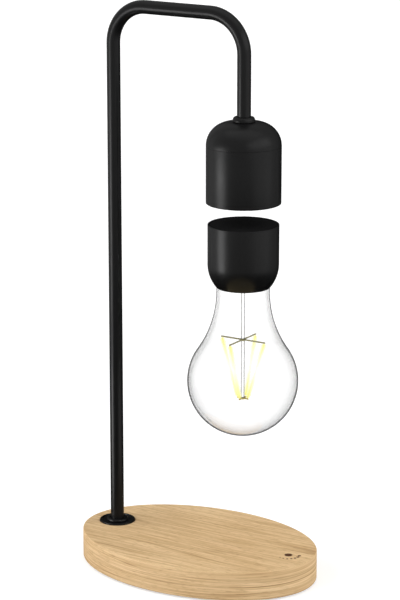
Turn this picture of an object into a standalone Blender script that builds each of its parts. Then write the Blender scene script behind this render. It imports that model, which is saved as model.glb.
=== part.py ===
"""A levitating table lamp: an oval oak base, a bent black tube, a domed magnet head, and under it a
filament bulb in a black cap that floats free in the air. Metres, +Z up. The origin is on the table,
under the middle of the oval base; +X runs along the base from the pole towards the bulb."""

import math

import bmesh
import bpy
from mathutils import Matrix, Vector

MM = 0.001

# Clearances shared by all pieces
FIT = 0.3 * MM
OVERRUN = 1.0 * MM
WELD = 0.001 * MM

# Facets of round pieces
OVAL_SIDES = 64
BAY_SIDES = 32
SHELL_SIDES = 32
GLASS_SIDES = 32
TUBE_SIDES = 12
DISC_SIDES = 16
PIN_SIDES = 8
WIRE_SIDES = 6
BEND_STEPS = 6
SMOOTH_ANGLE = math.radians(32)
BEVEL_ANGLE = math.radians(50)

# Oval base and the plate that closes it from below
BASE_LENGTH = 140.6 * MM
BASE_WIDTH = 96.7 * MM
BASE_THICK = 16.06 * MM
BASE_EDGE = 0.7 * MM
PLATE_INSET = 7.0 * MM
PLATE_THICK = 1.8 * MM
POLE_INSET = 16.1 * MM
TOUCH_INSET = 13.8 * MM
BAY_FROM_POLE = 16.2 * MM
BAY_FROM_TOUCH = 6.5 * MM
BAY_SIDE_WALL = 14.35 * MM
BAY_HEADROOM = 1.16 * MM

# Rubber feet under the plate
FOOT_RADIUS = 5.5 * MM
FOOT_HEIGHT = 1.3 * MM
FOOT_SEAT = 0.6 * MM
FOOT_EDGE = 0.3 * MM
FOOT_MARGIN = 1.5 * MM
FOOT_TURN = math.radians(57.7)
FOOT_PROUD = FOOT_HEIGHT + FIT - FOOT_SEAT

# Countersunk screws that hold the plate
PLATE_SCREW_MARGIN = 4.7 * MM
PLATE_SCREW_TURN = math.radians(31.6)
PLATE_SCREW_RADIUS = 1.1 * MM
PLATE_SCREW_HEAD_RADIUS = 2.3 * MM
PLATE_SCREW_HEAD_HEIGHT = 1.2 * MM
PLATE_SCREW_LENGTH = 9.0 * MM
DRIVE_RADIUS = 0.9 * MM
DRIVE_DEPTH = 0.6 * MM

# Control board on four bosses of the plate
BOARD_TO_BAY = 16.0 * MM
BOARD_THICK = 1.6 * MM
BOARD_CORNER = 2.0 * MM
BOARD_EDGE_TO_SCREW = 3.5 * MM
BOSS_RADIUS = 2.6 * MM
BOSS_HEIGHT = 2.0 * MM
BOARD_SCREW_RADIUS = 0.9 * MM
BOARD_SCREW_HEAD_RADIUS = 1.8 * MM
BOARD_SCREW_HEAD_HEIGHT = 1.2 * MM
BOARD_SCREW_LENGTH = 4.4 * MM
CHIP_SIDE = 9.0 * MM
CHIP_HEIGHT = 1.3 * MM
CHOKE_RADIUS = 4.2 * MM
CHOKE_HEIGHT = 4.0 * MM
CAN_RADIUS = 3.0 * MM
CAN_HEIGHT = 5.2 * MM
PLUG_LENGTH = 6.0 * MM
PLUG_WIDTH = 9.0 * MM
PLUG_HEIGHT = 4.4 * MM
TERMINAL_SIDE = 4.0 * MM
TERMINAL_HEIGHT = 3.6 * MM

# Touch switch: a copper pad under a thin skin of wood, at the end away from the pole
TOUCH_Y = 2.0 * MM
TOUCH_PAD_RADIUS = 4.8 * MM
TOUCH_PAD_THICK = 0.4 * MM
TOUCH_BORE_RADIUS = 5.6 * MM
TOUCH_SKIN = 1.8 * MM
TOUCH_LEAD_RADIUS = 0.5 * MM
TOUCH_LEAD_BEND = 2.5 * MM
TOUCH_DUCT_WIDTH = 4.6 * MM
TOUCH_DUCT_DROP = 1.0 * MM

# Power inlet in the middle of the back edge
INLET_FLANGE_RADIUS = 4.8 * MM
INLET_FLANGE_THICK = 1.2 * MM
INLET_BARREL_RADIUS = 3.5 * MM
INLET_PAST_NUT = 0.85 * MM
INLET_SOCKET_RADIUS = 2.85 * MM
INLET_SOCKET_DEPTH = 9.5 * MM
INLET_PIN_RADIUS = 1.05 * MM
INLET_PIN_SEAT = 2.0 * MM
INLET_PIN_BACK = 1.0 * MM
INLET_SUNK = 0.3 * MM
INLET_HEIGHT = 7.2 * MM
INLET_NUT_FLATS = 8.8 * MM
INLET_NUT_THICK = 2.2 * MM
INLET_TAG_LENGTH = 3.0 * MM
INLET_TAG_SIDE = 0.9 * MM
INLET_TAG_X = 1.6 * MM
INLET_LEAD_RADIUS = 0.6 * MM

# Bent tube that carries the head
TUBE_RADIUS = 3.72 * MM
TUBE_WALL = 0.8 * MM
BAR_REACH = 82.3 * MM
BAR_HEIGHT = 309.0 * MM
ARM_BEND = 20.7 * MM

# Foot of the pole: flange and collar on top of the wood, washer and nut below it
FLANGE_RADIUS = 9.9 * MM
FLANGE_SUNK = 1.4 * MM
FLANGE_PROUD = 0.25 * MM
FLANGE_EDGE = 0.5 * MM
COLLAR_RADIUS = 6.1 * MM
COLLAR_HEIGHT = 1.3 * MM
NUT_BAY_RADIUS = 8.4 * MM
WASHER_RADIUS = 7.8 * MM
WASHER_THICK = 1.0 * MM
NUT_FLATS = 12.6 * MM
NUT_THICK = 2.7 * MM
NUT_CHAMFER = 0.5 * MM
TUBE_PAST_NUT = 0.4 * MM

# Cable inside the tube, from the control board to the head
CABLE_RADIUS = 1.3 * MM
CABLE_BEND = 4.0 * MM
CABLE_OVER_PLATE = 0.8 * MM
TUBE_OVER_CABLE = 0.76 * MM
CABLE_EASE = 3.5 * MM
CABLE_RISE_START = 13.0 * MM
CABLE_RISE_END = 20.0 * MM
DUCT_WIDTH = 6.0 * MM
DUCT_ROOF_GAP = 2.4 * MM

# Head shell: skirt below, dome above
HEAD_RADIUS = 20.1 * MM
HEAD_HEIGHT = 43.55 * MM
HEAD_DROP = 56.15 * MM
DOME_FILLET = 12.6 * MM
DOME_WALL = 1.8 * MM
CROWN_WALL = 2.2 * MM
SPIGOT_LENGTH = 4.0 * MM
SPIGOT_WALL = 1.3 * MM
SPIGOT_STEP = 1.2 * MM
SKIRT_WALL = 1.6 * MM
SKIRT_LIP = 0.9 * MM
SKIRT_EDGE = 0.35 * MM
GROMMET_RADIUS = 5.95 * MM
GROMMET_HEIGHT = 2.5 * MM
GROMMET_TOP_WALL = 0.7 * MM
HEAD_WASHER_RADIUS = 6.8 * MM

# Levitation works inside the head, from the bottom up
END_PLATE_RECESS = 0.6 * MM
END_PLATE_THICK = 1.6 * MM
FLAT_COIL_TO_SHELL = 2.0 * MM
FLAT_COIL_HOLE = 9.4 * MM
FLAT_COIL_THICK = 1.4 * MM
SENSOR_BOARD_RADIUS = 8.6 * MM
SENSOR_BOARD_THICK = 1.0 * MM
SENSOR_SIDE = 4.0 * MM
SENSOR_HEIGHT = 1.0 * MM
BOBBIN_TO_SHELL = 1.5 * MM
BOBBIN_FLANGE = 1.2 * MM
BOBBIN_HUB_WALL = 0.8 * MM
CORE_RADIUS = 5.5 * MM
WINDING_TO_FLANGE = 1.0 * MM
WINDING_CROWN = 0.5 * MM
MAGNET_TO_POST = 1.1 * MM
MAGNET_THICK = 3.0 * MM
MAGNET_EDGE = 0.4 * MM
POST_RADIUS = 1.5 * MM
POST_INSET = 2.4 * MM
POST_COUNT = 3
DRIVER_BOARD_TO_SHELL = 2.2 * MM
DRIVER_BOARD_THICK = 1.4 * MM
DRIVER_PLUG_SIDE = 6.0 * MM
DRIVER_PLUG_HEIGHT = 3.4 * MM
DRIVER_HEADROOM = 5.45 * MM
DRIVER_PART_COUNT = 4
DRIVER_PART_INSET = 5.8 * MM
DRIVER_PART_SIDE = 4.5 * MM
DRIVER_PART_HEIGHT = 2.0 * MM

# Floating unit: air gap, cap and lid
AIR_GAP = 11.5 * MM
CAP_RADIUS = 19.15 * MM
CAP_STRAIGHT = 21.56 * MM
CAP_CURVE = 19.65 * MM
CAP_SWEEP = 0.702
CAP_WALL = 1.4 * MM
CAP_RIM = 0.55 * MM
LID_RECESS = 0.25 * MM
LID_THICK = 1.2 * MM

# Floating unit: magnet, receiving coil and rectifier inside the cap
FLOAT_COIL_TO_CAP = 1.15 * MM
FLOAT_COIL_HOLE = 9.0 * MM
FLOAT_COIL_THICK = 1.2 * MM
FLOAT_MAGNET_RADIUS = 11.0 * MM
FLOAT_MAGNET_THICK = 8.0 * MM
HOLDER_WALL = 1.2 * MM
HOLDER_TOP = 1.5 * MM
RECTIFIER_THICK = 1.4 * MM
RECTIFIER_PART_COUNT = 4
RECTIFIER_PART_CIRCLE = 9.0 * MM
RECTIFIER_PART_SIDE = 4.0 * MM
RECTIFIER_PART_HEIGHT = 2.2 * MM
SOCKET_LIP = 1.5 * MM
SOCKET_LIP_REACH = 2.4 * MM
SOCKET_BELOW = 8.0 * MM

# Glass bulb: a sphere that runs into a neck through one concave curve
GLASS_RADIUS = 30.0 * MM
GLASS_SHOULDER = 57.3 * MM
NECK_TO_CAP = 0.19 * MM
NECK_STRAIGHT = 2.35 * MM
NECK_STEP = 1.4 * MM
NECK_SEAT = 11.5 * MM
GLASS_WALL = 0.9 * MM

# Glass stem, wire supports and the four light rods
ROD_RADIUS = 1.0 * MM
FLARE_HEIGHT = 8.0 * MM
FLARE_WALL = 0.9 * MM
FLARE_CORE = 4.0 * MM
UPPER_SUPPORT_DROP = 29.45 * MM
LOWER_SUPPORT_DROP = 62.25 * MM
ROD_PAST_SUPPORT = 0.6 * MM
SUPPORT_RING_WALL = 0.6 * MM
SUPPORT_RING_HEIGHT = 0.7 * MM
SUPPORT_WIRE = 0.32 * MM
UPPER_ARM = 13.7 * MM
LOWER_ARM = 3.6 * MM
LIGHT_ROD_RADIUS = 0.9 * MM
LIGHT_TAB_RADIUS = 0.4 * MM
LIGHT_TAB_LENGTH = 1.3 * MM
LIGHT_ROD_END = 0.5 * MM
LIGHT_ROD_COUNT = 4

# Places along the base that follow from the sizes above
POLE_X = POLE_INSET - BASE_LENGTH / 2
TOUCH_X = BASE_LENGTH / 2 - TOUCH_INSET
HEAD_X = POLE_X + BAR_REACH
BAY_START = POLE_X + BAY_FROM_POLE
BAY_END = TOUCH_X - BAY_FROM_TOUCH
BAY_X = (BAY_START + BAY_END) / 2
BAY_LENGTH = BAY_END - BAY_START
BAY_WIDTH = BASE_WIDTH - 2 * BAY_SIDE_WALL
BOARD_LENGTH = BAY_LENGTH - 2 * BOARD_TO_BAY
BOARD_WIDTH = BAY_WIDTH - 2 * BOARD_TO_BAY

# Radii that follow
HEAD_INNER = HEAD_RADIUS - SKIRT_WALL
FLAT_COIL_RADIUS = HEAD_INNER - FLAT_COIL_TO_SHELL
BOBBIN_RADIUS = HEAD_INNER - BOBBIN_TO_SHELL
DRIVER_BOARD_RADIUS = HEAD_INNER - DRIVER_BOARD_TO_SHELL
WINDING_RADIUS = BOBBIN_RADIUS - WINDING_TO_FLANGE
POST_CIRCLE = BOBBIN_RADIUS - POST_INSET
MAGNET_RADIUS = POST_CIRCLE - POST_RADIUS - MAGNET_TO_POST
CAP_INNER = CAP_RADIUS - CAP_WALL
NECK_RADIUS = CAP_RADIUS - CAP_CURVE * (1 - math.cos(CAP_SWEEP)) - NECK_TO_CAP
NECK_INNER = NECK_RADIUS - NECK_STEP
TUBE_HOLE = TUBE_RADIUS + FIT
BOARD_SCREW_HOLE = BOARD_SCREW_RADIUS + FIT

# Heights that follow: the base's works stand on its plate, and the head hangs from the bar
BASE_BOTTOM = FOOT_PROUD
BASE_TOP = BASE_BOTTOM + BASE_THICK
PLATE_TOP = BASE_BOTTOM + PLATE_THICK
BAY_FLOOR = PLATE_TOP + FIT
BOARD_BOTTOM = PLATE_TOP + BOSS_HEIGHT + FIT
BOARD_TOP = BOARD_BOTTOM + BOARD_THICK
BAY_CEILING = BOARD_TOP + CAN_HEIGHT + BAY_HEADROOM
CABLE_Z = PLATE_TOP + CABLE_OVER_PLATE + CABLE_RADIUS
TUBE_FOOT = CABLE_Z + CABLE_RADIUS + TUBE_OVER_CABLE
POLE_NUT_TOP = TUBE_FOOT + TUBE_PAST_NUT + NUT_THICK
POLE_WASHER_TOP = POLE_NUT_TOP + FIT + WASHER_THICK
NUT_BAY_CEILING = POLE_WASHER_TOP + FIT
BAR_Z = BASE_BOTTOM + BAR_HEIGHT
HEAD_HIGH = BAR_Z - HEAD_DROP
HEAD_LOW = HEAD_HIGH - HEAD_HEIGHT
SEAM = HEAD_HIGH - DOME_FILLET
HEAD_WASHER_TOP = HEAD_HIGH - CROWN_WALL - FIT
HEAD_NUT_TOP = HEAD_WASHER_TOP - WASHER_THICK - FIT
TUBE_TIP = HEAD_NUT_TOP - NUT_THICK - TUBE_PAST_NUT
CAP_TOP = HEAD_LOW - AIR_GAP
CAP_RIM_Z = CAP_TOP - CAP_STRAIGHT - CAP_CURVE * math.sin(CAP_SWEEP)
NECK_SEAT_Z = CAP_RIM_Z - FIT
NECK_TOP = NECK_SEAT_Z + NECK_SEAT

# Finishes: colour, roughness, metallic
FINISHES = {
    "oak": ((0.62, 0.43, 0.24), 0.55, 0.0),
    "black_coat": ((0.014, 0.014, 0.015), 0.42, 0.0),
    "black_plastic": ((0.016, 0.016, 0.017), 0.50, 0.0),
    "plate_coat": ((0.02, 0.02, 0.021), 0.55, 0.0),
    "rubber": ((0.03, 0.03, 0.03), 0.80, 0.0),
    "zinc": ((0.55, 0.55, 0.56), 0.35, 1.0),
    "nickel": ((0.62, 0.60, 0.56), 0.25, 1.0),
    "copper": ((0.72, 0.32, 0.16), 0.30, 1.0),
    "iron": ((0.25, 0.25, 0.26), 0.50, 1.0),
    "board": ((0.03, 0.20, 0.09), 0.50, 0.0),
    "clear_plastic": ((0.75, 0.75, 0.72), 0.40, 0.0),
    "cable": ((0.03, 0.03, 0.03), 0.60, 0.0),
    "glass": ((0.95, 0.97, 0.97), 0.02, 0.0),
    "support_wire": ((0.30, 0.25, 0.12), 0.40, 1.0),
    "light_rod": ((1.00, 0.93, 0.62), 0.45, 0.0),
}
GLASS_ALPHA = 0.25


def clear_scene():
    for obj in list(bpy.data.objects):
        bpy.data.objects.remove(obj, do_unlink=True)


def finish(name):
    """The named material, made once."""
    found = bpy.data.materials.get(name)
    if found:
        return found
    colour, roughness, metallic = FINISHES[name]
    made = bpy.data.materials.new(name)
    made.use_nodes = True
    shader = made.node_tree.nodes["Principled BSDF"]
    shader.inputs["Base Color"].default_value = (*colour, 1.0)
    shader.inputs["Roughness"].default_value = roughness
    shader.inputs["Metallic"].default_value = metallic
    made.diffuse_color = (*colour, 1.0)
    if name == "glass":
        shader.inputs["Alpha"].default_value = GLASS_ALPHA
    if name == "light_rod":
        shader.inputs["Emission Color"].default_value = (*colour, 1.0)
        shader.inputs["Emission Strength"].default_value = 1.0
    return made


def empty(name, location=(0, 0, 0), parent=None):
    made = bpy.data.objects.new(name, None)
    made.location = location
    made.parent = parent
    bpy.context.scene.collection.objects.link(made)
    return made


def place(name, bm, finish_name, parent):
    """Turns a bmesh into an object with smooth rounds and crisp edges."""
    bmesh.ops.remove_doubles(bm, verts=bm.verts, dist=WELD)
    bmesh.ops.recalc_face_normals(bm, faces=bm.faces)
    mesh = bpy.data.meshes.new(name)
    bm.to_mesh(mesh)
    bm.free()
    mesh.shade_smooth()
    mesh.set_sharp_from_angle(angle=SMOOTH_ANGLE)
    made = bpy.data.objects.new(name, mesh)
    made.parent = parent
    if finish_name:
        mesh.materials.append(finish(finish_name))
    else:
        made.hide_render = True
        made.display_type = "WIRE"
    bpy.context.scene.collection.objects.link(made)
    return made


def copies(name, bm, finish_name, parent, places):
    """Numbered pieces of one shape, each its own object, at the (x, y) places."""
    first = place(f"{name}_1", bm, finish_name, parent)
    first.location = (*places[0], 0)
    for number, spot in enumerate(places[1:], 2):
        made = bpy.data.objects.new(f"{name}_{number}", first.data)
        made.parent = parent
        made.location = (*spot, 0)
        bpy.context.scene.collection.objects.link(made)


def helper(name, bm, parent):
    """A shape that only cuts or joins another piece."""
    return place(name, bm, None, parent)


def boolean(target, others, operation):
    for other in others:
        modifier = target.modifiers.new(other.name, "BOOLEAN")
        modifier.operation = operation
        modifier.solver = "EXACT"
        modifier.object = other
    return target


def carve(target, *cutters):
    return boolean(target, cutters, "DIFFERENCE")


def fuse(target, *additions):
    return boolean(target, additions, "UNION")


def round_edges(target, width, segments=1):
    modifier = target.modifiers.new("rounded edges", "BEVEL")
    modifier.width = width
    modifier.segments = segments
    modifier.limit_method = "ANGLE"
    modifier.angle_limit = BEVEL_ANGLE
    return target


def oval(length, width, x=0.0, sides=OVAL_SIDES, phase=0.0):
    """An ellipse as (x, y) points."""
    turns = [phase + 2 * math.pi * step / sides for step in range(sides)]
    return [(x + length / 2 * math.cos(turn), width / 2 * math.sin(turn)) for turn in turns]


def circle(radius, sides, x=0.0, y=0.0):
    turns = [2 * math.pi * step / sides for step in range(sides)]
    return [(x + radius * math.cos(turn), y + radius * math.sin(turn)) for turn in turns]


def hexagon(flats):
    return circle(flats / 2 / math.cos(math.pi / 6), 6)


def rectangle(length, width, x=0.0, y=0.0):
    signs = ((-1, -1), (1, -1), (1, 1), (-1, 1))
    return [(x + across * length / 2, y + along * width / 2) for across, along in signs]


def rounded_rectangle(length, width, corner, x=0.0, y=0.0):
    outline = []
    for quarter, (across, along) in enumerate(((1, 1), (-1, 1), (-1, -1), (1, -1))):
        centre_x = x + across * (length / 2 - corner)
        centre_y = y + along * (width / 2 - corner)
        for step in range(4):
            turn = math.pi / 2 * (quarter + step / 3)
            outline.append((centre_x + corner * math.cos(turn), centre_y + corner * math.sin(turn)))
    return outline


def prism(outline, low, high, bm=None):
    """The (x, y) outline stood up from low to high."""
    bm = bm or bmesh.new()
    floor = bm.faces.new([bm.verts.new((x, y, low)) for x, y in outline])
    grown = bmesh.ops.extrude_face_region(bm, geom=[floor], use_keep_orig=True)
    raised = [item for item in grown["geom"] if isinstance(item, bmesh.types.BMVert)]
    bmesh.ops.translate(bm, verts=raised, vec=(0, 0, high - low))
    return bm


def turned(profile, sides):
    """The (radius, height) outline spun about Z. It closes on itself unless it ends on the axis."""
    bm = bmesh.new()
    corners = [bm.verts.new((radius, 0, height)) for radius, height in profile]
    lines = [bm.edges.new(pair) for pair in zip(corners, corners[1:])]
    if profile[0][0] or profile[-1][0]:
        lines.append(bm.edges.new((corners[-1], corners[0])))
    bmesh.ops.spin(
        bm,
        geom=corners + lines,
        cent=(0, 0, 0),
        axis=(0, 0, 1),
        angle=2 * math.pi,
        steps=sides,
        use_merge=True,
    )
    return bm


def disc(radius, low, high, sides, edge=0.0):
    """A plain or round-edged solid disc."""
    if not edge:
        return turned([(0, low), (radius, low), (radius, high), (0, high)], sides)
    profile = [(0, low), (radius - edge, low), (radius, low + edge)]
    profile += [(radius, high - edge), (radius - edge, high), (0, high)]
    return turned(profile, sides)


def ring(outer, inner, low, high, sides):
    return turned([(inner, low), (outer, low), (outer, high), (inner, high)], sides)


def arc(centre_r, centre_z, radius, start, end, steps):
    """Points of an arc in a (radius, height) profile, both ends included."""
    turns = [start + (end - start) * step / steps for step in range(steps + 1)]
    return [(centre_r + radius * math.cos(turn), centre_z + radius * math.sin(turn)) for turn in turns]


def filleted(corners, radii, steps):
    """A path of 3-D points through the corners, with each inner corner rounded to its radius."""
    path = [Vector(corners[0])]
    for before, corner, after, radius in zip(corners, corners[1:], corners[2:], radii):
        corner = Vector(corner)
        back = (Vector(before) - corner).normalized()
        ahead = (Vector(after) - corner).normalized()
        half = back.angle(ahead) / 2
        middle = corner + (back + ahead).normalized() * (radius / math.sin(half))
        start = corner + back * (radius / math.tan(half))
        sweep = math.pi - 2 * half
        axis = back.cross(ahead).normalized()
        for step in range(steps + 1):
            turn = Matrix.Rotation(-sweep * step / steps, 3, axis)
            path.append(middle + turn @ (start - middle))
    path.append(Vector(corners[-1]))
    return path


def swept(path, radius, sides):
    """A round bar along the path with closed ends: rings square to it, joined one to the next."""
    bm = bmesh.new()
    side_axis = Vector((0, 1, 0))
    if abs((path[1] - path[0]).normalized().dot(side_axis)) > math.cos(math.radians(30)):
        side_axis = Vector((1, 0, 0))
    rings = []
    for index, point in enumerate(path):
        back = (point - path[max(index - 1, 0)]).normalized()
        ahead = (path[min(index + 1, len(path) - 1)] - point).normalized()
        heading = (back + ahead).normalized()
        normal = side_axis.cross(heading).normalized()
        across = heading.cross(normal)
        corners = []
        for step in range(sides):
            turn = 2 * math.pi * step / sides
            corners.append(bm.verts.new(point + (normal * math.cos(turn) + across * math.sin(turn)) * radius))
        rings.append(corners)
    for near, far in zip(rings, rings[1:]):
        for step in range(sides):
            following = (step + 1) % sides
            bm.faces.new((near[step], near[following], far[following], far[step]))
    bm.faces.new(rings[0])
    bm.faces.new(rings[-1])
    return bm


def scatter(count, radius, phase=0.0):
    """Places on a circle, as (x, y)."""
    turns = [phase + 2 * math.pi * step / count for step in range(count)]
    return [(radius * math.cos(turn), radius * math.sin(turn)) for turn in turns]


def corner_places(x, y):
    return [(x, y), (-x, y), (-x, -y), (x, -y)]


def plate_places(margin, turn):
    """Four places this far inside the plate's edge, on a smaller oval."""
    inset = PLATE_INSET + margin
    return corner_places(
        (BASE_LENGTH / 2 - inset) * math.cos(turn), (BASE_WIDTH / 2 - inset) * math.sin(turn)
    )


def plate_screw_places():
    return plate_places(PLATE_SCREW_HEAD_RADIUS + PLATE_SCREW_MARGIN, PLATE_SCREW_TURN)


def foot_places():
    return plate_places(FOOT_RADIUS + FOOT_MARGIN, FOOT_TURN)


# The oval base

def base_edge_y(x):
    """Half the base's width at x."""
    return BASE_WIDTH / 2 * math.sqrt(1 - (2 * x / BASE_LENGTH) ** 2)


def base_body(stand):
    body = place("base_body", prism(oval(BASE_LENGTH, BASE_WIDTH), BASE_BOTTOM, BASE_TOP), "oak", stand)
    round_edges(body, BASE_EDGE)
    plate_length = BASE_LENGTH - 2 * PLATE_INSET
    plate_width = BASE_WIDTH - 2 * PLATE_INSET
    seat = prism(oval(plate_length, plate_width), BASE_BOTTOM - OVERRUN, BAY_FLOOR)
    low = BAY_FLOOR - OVERRUN
    bay_outline = oval(BAY_LENGTH, BAY_WIDTH, BAY_X, BAY_SIDES, math.pi / BAY_SIDES)
    bay = prism(bay_outline, low, BAY_CEILING)
    touch_ceiling = BASE_TOP - TOUCH_SKIN
    touch_bore = prism(circle(TOUCH_BORE_RADIUS, DISC_SIDES, TOUCH_X, TOUCH_Y), low, touch_ceiling)
    duct_from = BAY_END - TOUCH_BORE_RADIUS
    touch_duct = prism(
        rectangle(TOUCH_X - duct_from, TOUCH_DUCT_WIDTH, (TOUCH_X + duct_from) / 2, TOUCH_Y),
        low,
        BAY_CEILING - TOUCH_DUCT_DROP,
    )
    nut_bay = prism(circle(NUT_BAY_RADIUS, DISC_SIDES, POLE_X), low, NUT_BAY_CEILING)
    duct_to = BAY_START + DUCT_WIDTH
    cable_duct = prism(
        rectangle(duct_to - POLE_X, DUCT_WIDTH, (duct_to + POLE_X) / 2),
        low,
        NUT_BAY_CEILING - DUCT_ROOF_GAP,
    )
    pole_hole = prism(circle(TUBE_HOLE, TUBE_SIDES, POLE_X), NUT_BAY_CEILING - OVERRUN, BASE_TOP + OVERRUN)
    flange_seat = prism(
        circle(FLANGE_RADIUS + FIT, SHELL_SIDES, POLE_X), BASE_TOP - FLANGE_SUNK - FIT, BASE_TOP + OVERRUN
    )
    pilots = bmesh.new()
    for x, y in plate_screw_places():
        pilot_top = BASE_BOTTOM + PLATE_SCREW_LENGTH + FIT
        prism(circle(PLATE_SCREW_RADIUS + FIT, PIN_SIDES, x, y), low, pilot_top, pilots)
    return carve(
        body,
        helper("cut_plate_seat", seat, stand),
        helper("cut_board_bay", bay, stand),
        helper("cut_touch_bore", touch_bore, stand),
        helper("cut_touch_duct", touch_duct, stand),
        helper("cut_nut_bay", nut_bay, stand),
        helper("cut_cable_duct", cable_duct, stand),
        helper("cut_pole_hole", pole_hole, stand),
        helper("cut_flange_seat", flange_seat, stand),
        helper("cut_pilot_holes", pilots, stand),
    )


def inlet_wall():
    """Wood that the inlet passes through, up to the bay's flat that its nut lies against."""
    return base_edge_y(BAY_X) - BAY_WIDTH / 2 * math.cos(math.pi / BAY_SIDES)


def inlet_back():
    """How deep the inlet's barrel reaches from the base's edge."""
    return inlet_wall() + FIT + INLET_NUT_THICK + INLET_PAST_NUT


def inlet_bore(inlet):
    """The stepped hole for the power inlet, along the inlet's own axis."""
    flange_room = INLET_FLANGE_THICK + INLET_SUNK + FIT
    depth = inlet_back() + OVERRUN
    profile = [(0, OVERRUN), (INLET_FLANGE_RADIUS + FIT, OVERRUN), (INLET_FLANGE_RADIUS + FIT, -flange_room)]
    profile += [(INLET_BARREL_RADIUS + FIT, -flange_room), (INLET_BARREL_RADIUS + FIT, -depth), (0, -depth)]
    return helper("cut_inlet_bore", turned(profile, DISC_SIDES), inlet)


def bottom_plate(stand):
    length = BASE_LENGTH - 2 * (PLATE_INSET + FIT)
    width = BASE_WIDTH - 2 * (PLATE_INSET + FIT)
    plate = place("bottom_plate", prism(oval(length, width), BASE_BOTTOM, PLATE_TOP), "plate_coat", stand)
    bosses = bmesh.new()
    pilots = bmesh.new()
    for x, y in board_screw_places():
        pilot_floor = PLATE_TOP - PLATE_THICK / 2
        prism(circle(BOSS_RADIUS, PIN_SIDES, x, y), pilot_floor, PLATE_TOP + BOSS_HEIGHT, bosses)
        pilot_top = PLATE_TOP + BOSS_HEIGHT + OVERRUN
        prism(circle(BOARD_SCREW_HOLE, WIRE_SIDES, x, y), pilot_floor, pilot_top, pilots)
    seats = bmesh.new()
    for x, y in foot_places():
        seat_ring = circle(FOOT_RADIUS + FIT, DISC_SIDES, x, y)
        prism(seat_ring, BASE_BOTTOM - OVERRUN, BASE_BOTTOM + FOOT_SEAT, seats)
    fuse(plate, helper("add_bosses", bosses, stand))
    carve(plate, helper("cut_boss_pilots", pilots, stand), helper("cut_foot_seats", seats, stand))
    for number, (x, y) in enumerate(plate_screw_places(), 1):
        sink = screw_profile(FIT, BASE_BOTTOM - OVERRUN, PLATE_TOP + OVERRUN)
        hole = helper(f"cut_screw_hole_{number}", turned(sink, PIN_SIDES), stand)
        hole.location = (x, y, 0)
        carve(plate, hole)
    return plate


def screw_profile(room, low, high):
    """A countersunk screw, head down, or with some room its hole."""
    cone_low = BASE_BOTTOM
    cone_high = BASE_BOTTOM + PLATE_SCREW_HEAD_HEIGHT
    head = PLATE_SCREW_HEAD_RADIUS + room
    shank = PLATE_SCREW_RADIUS + room
    profile = [(0, low), (head, low)]
    if low < cone_low:
        profile.append((head, cone_low))
    return profile + [(shank, cone_high), (shank, high), (0, high)]


def plate_screws(stand):
    tip = BASE_BOTTOM + PLATE_SCREW_LENGTH
    drive = BASE_BOTTOM + DRIVE_DEPTH
    profile = [(0, drive), (DRIVE_RADIUS, drive), (DRIVE_RADIUS, BASE_BOTTOM)]
    profile += screw_profile(0.0, BASE_BOTTOM, tip - PLATE_SCREW_RADIUS)[1:-1] + [(0, tip)]
    copies("plate_screw", turned(profile, PIN_SIDES), "zinc", stand, plate_screw_places())


def feet(stand):
    foot = disc(FOOT_RADIUS, 0, FOOT_HEIGHT, DISC_SIDES, FOOT_EDGE)
    copies("rubber_foot", foot, "rubber", stand, foot_places())


# Electronics in the base

def board_screw_places():
    across = BOARD_LENGTH / 2 - BOARD_EDGE_TO_SCREW
    along = BOARD_WIDTH / 2 - BOARD_EDGE_TO_SCREW
    return [(BAY_X + x, y) for x, y in corner_places(across, along)]


def plug_x():
    """Middle of the cable's plug, at the pole's end of the board."""
    return BAY_X - BOARD_LENGTH / 2 + PLUG_LENGTH / 2 + FIT


def touch_terminal_x():
    return BAY_X + BOARD_LENGTH / 2 - TERMINAL_SIDE


def inlet_terminal_y():
    return BOARD_WIDTH / 2 - TERMINAL_SIDE / 2 - FIT


def control_board(stand):
    outline = rounded_rectangle(BOARD_LENGTH, BOARD_WIDTH, BOARD_CORNER, BAY_X)
    board = place("control_board", prism(outline, BOARD_BOTTOM, BOARD_TOP), "board", stand)
    holes = bmesh.new()
    for x, y in board_screw_places():
        hole = circle(BOARD_SCREW_HOLE, WIRE_SIDES, x, y)
        prism(hole, BOARD_BOTTOM - OVERRUN, BOARD_TOP + OVERRUN, holes)
    seat = BOARD_TOP - BOARD_THICK / 2
    loaded = bmesh.new()
    third = BOARD_LENGTH / 6
    quarter = BOARD_WIDTH / 4
    prism(rectangle(CHIP_SIDE, CHIP_SIDE, BAY_X), seat, BOARD_TOP + CHIP_HEIGHT, loaded)
    for y in (-quarter, quarter):
        prism(circle(CHOKE_RADIUS, 2 * WIRE_SIDES, BAY_X - third, y), seat, BOARD_TOP + CHOKE_HEIGHT, loaded)
        prism(circle(CAN_RADIUS, 2 * WIRE_SIDES, BAY_X + third, y), seat, BOARD_TOP + CAN_HEIGHT, loaded)
    plug = rectangle(PLUG_LENGTH, PLUG_WIDTH, plug_x())
    prism(plug, seat, BOARD_TOP + PLUG_HEIGHT, loaded)
    touch = rectangle(TERMINAL_SIDE, TERMINAL_SIDE, touch_terminal_x(), TOUCH_Y)
    prism(touch, seat, BOARD_TOP + TERMINAL_HEIGHT, loaded)
    supply = rectangle(2 * TERMINAL_SIDE, TERMINAL_SIDE, BAY_X, inlet_terminal_y())
    prism(supply, seat, BOARD_TOP + TERMINAL_HEIGHT, loaded)
    fuse(board, helper("add_board_parts", loaded, stand))
    return carve(board, helper("cut_board_holes", holes, stand))


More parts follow.
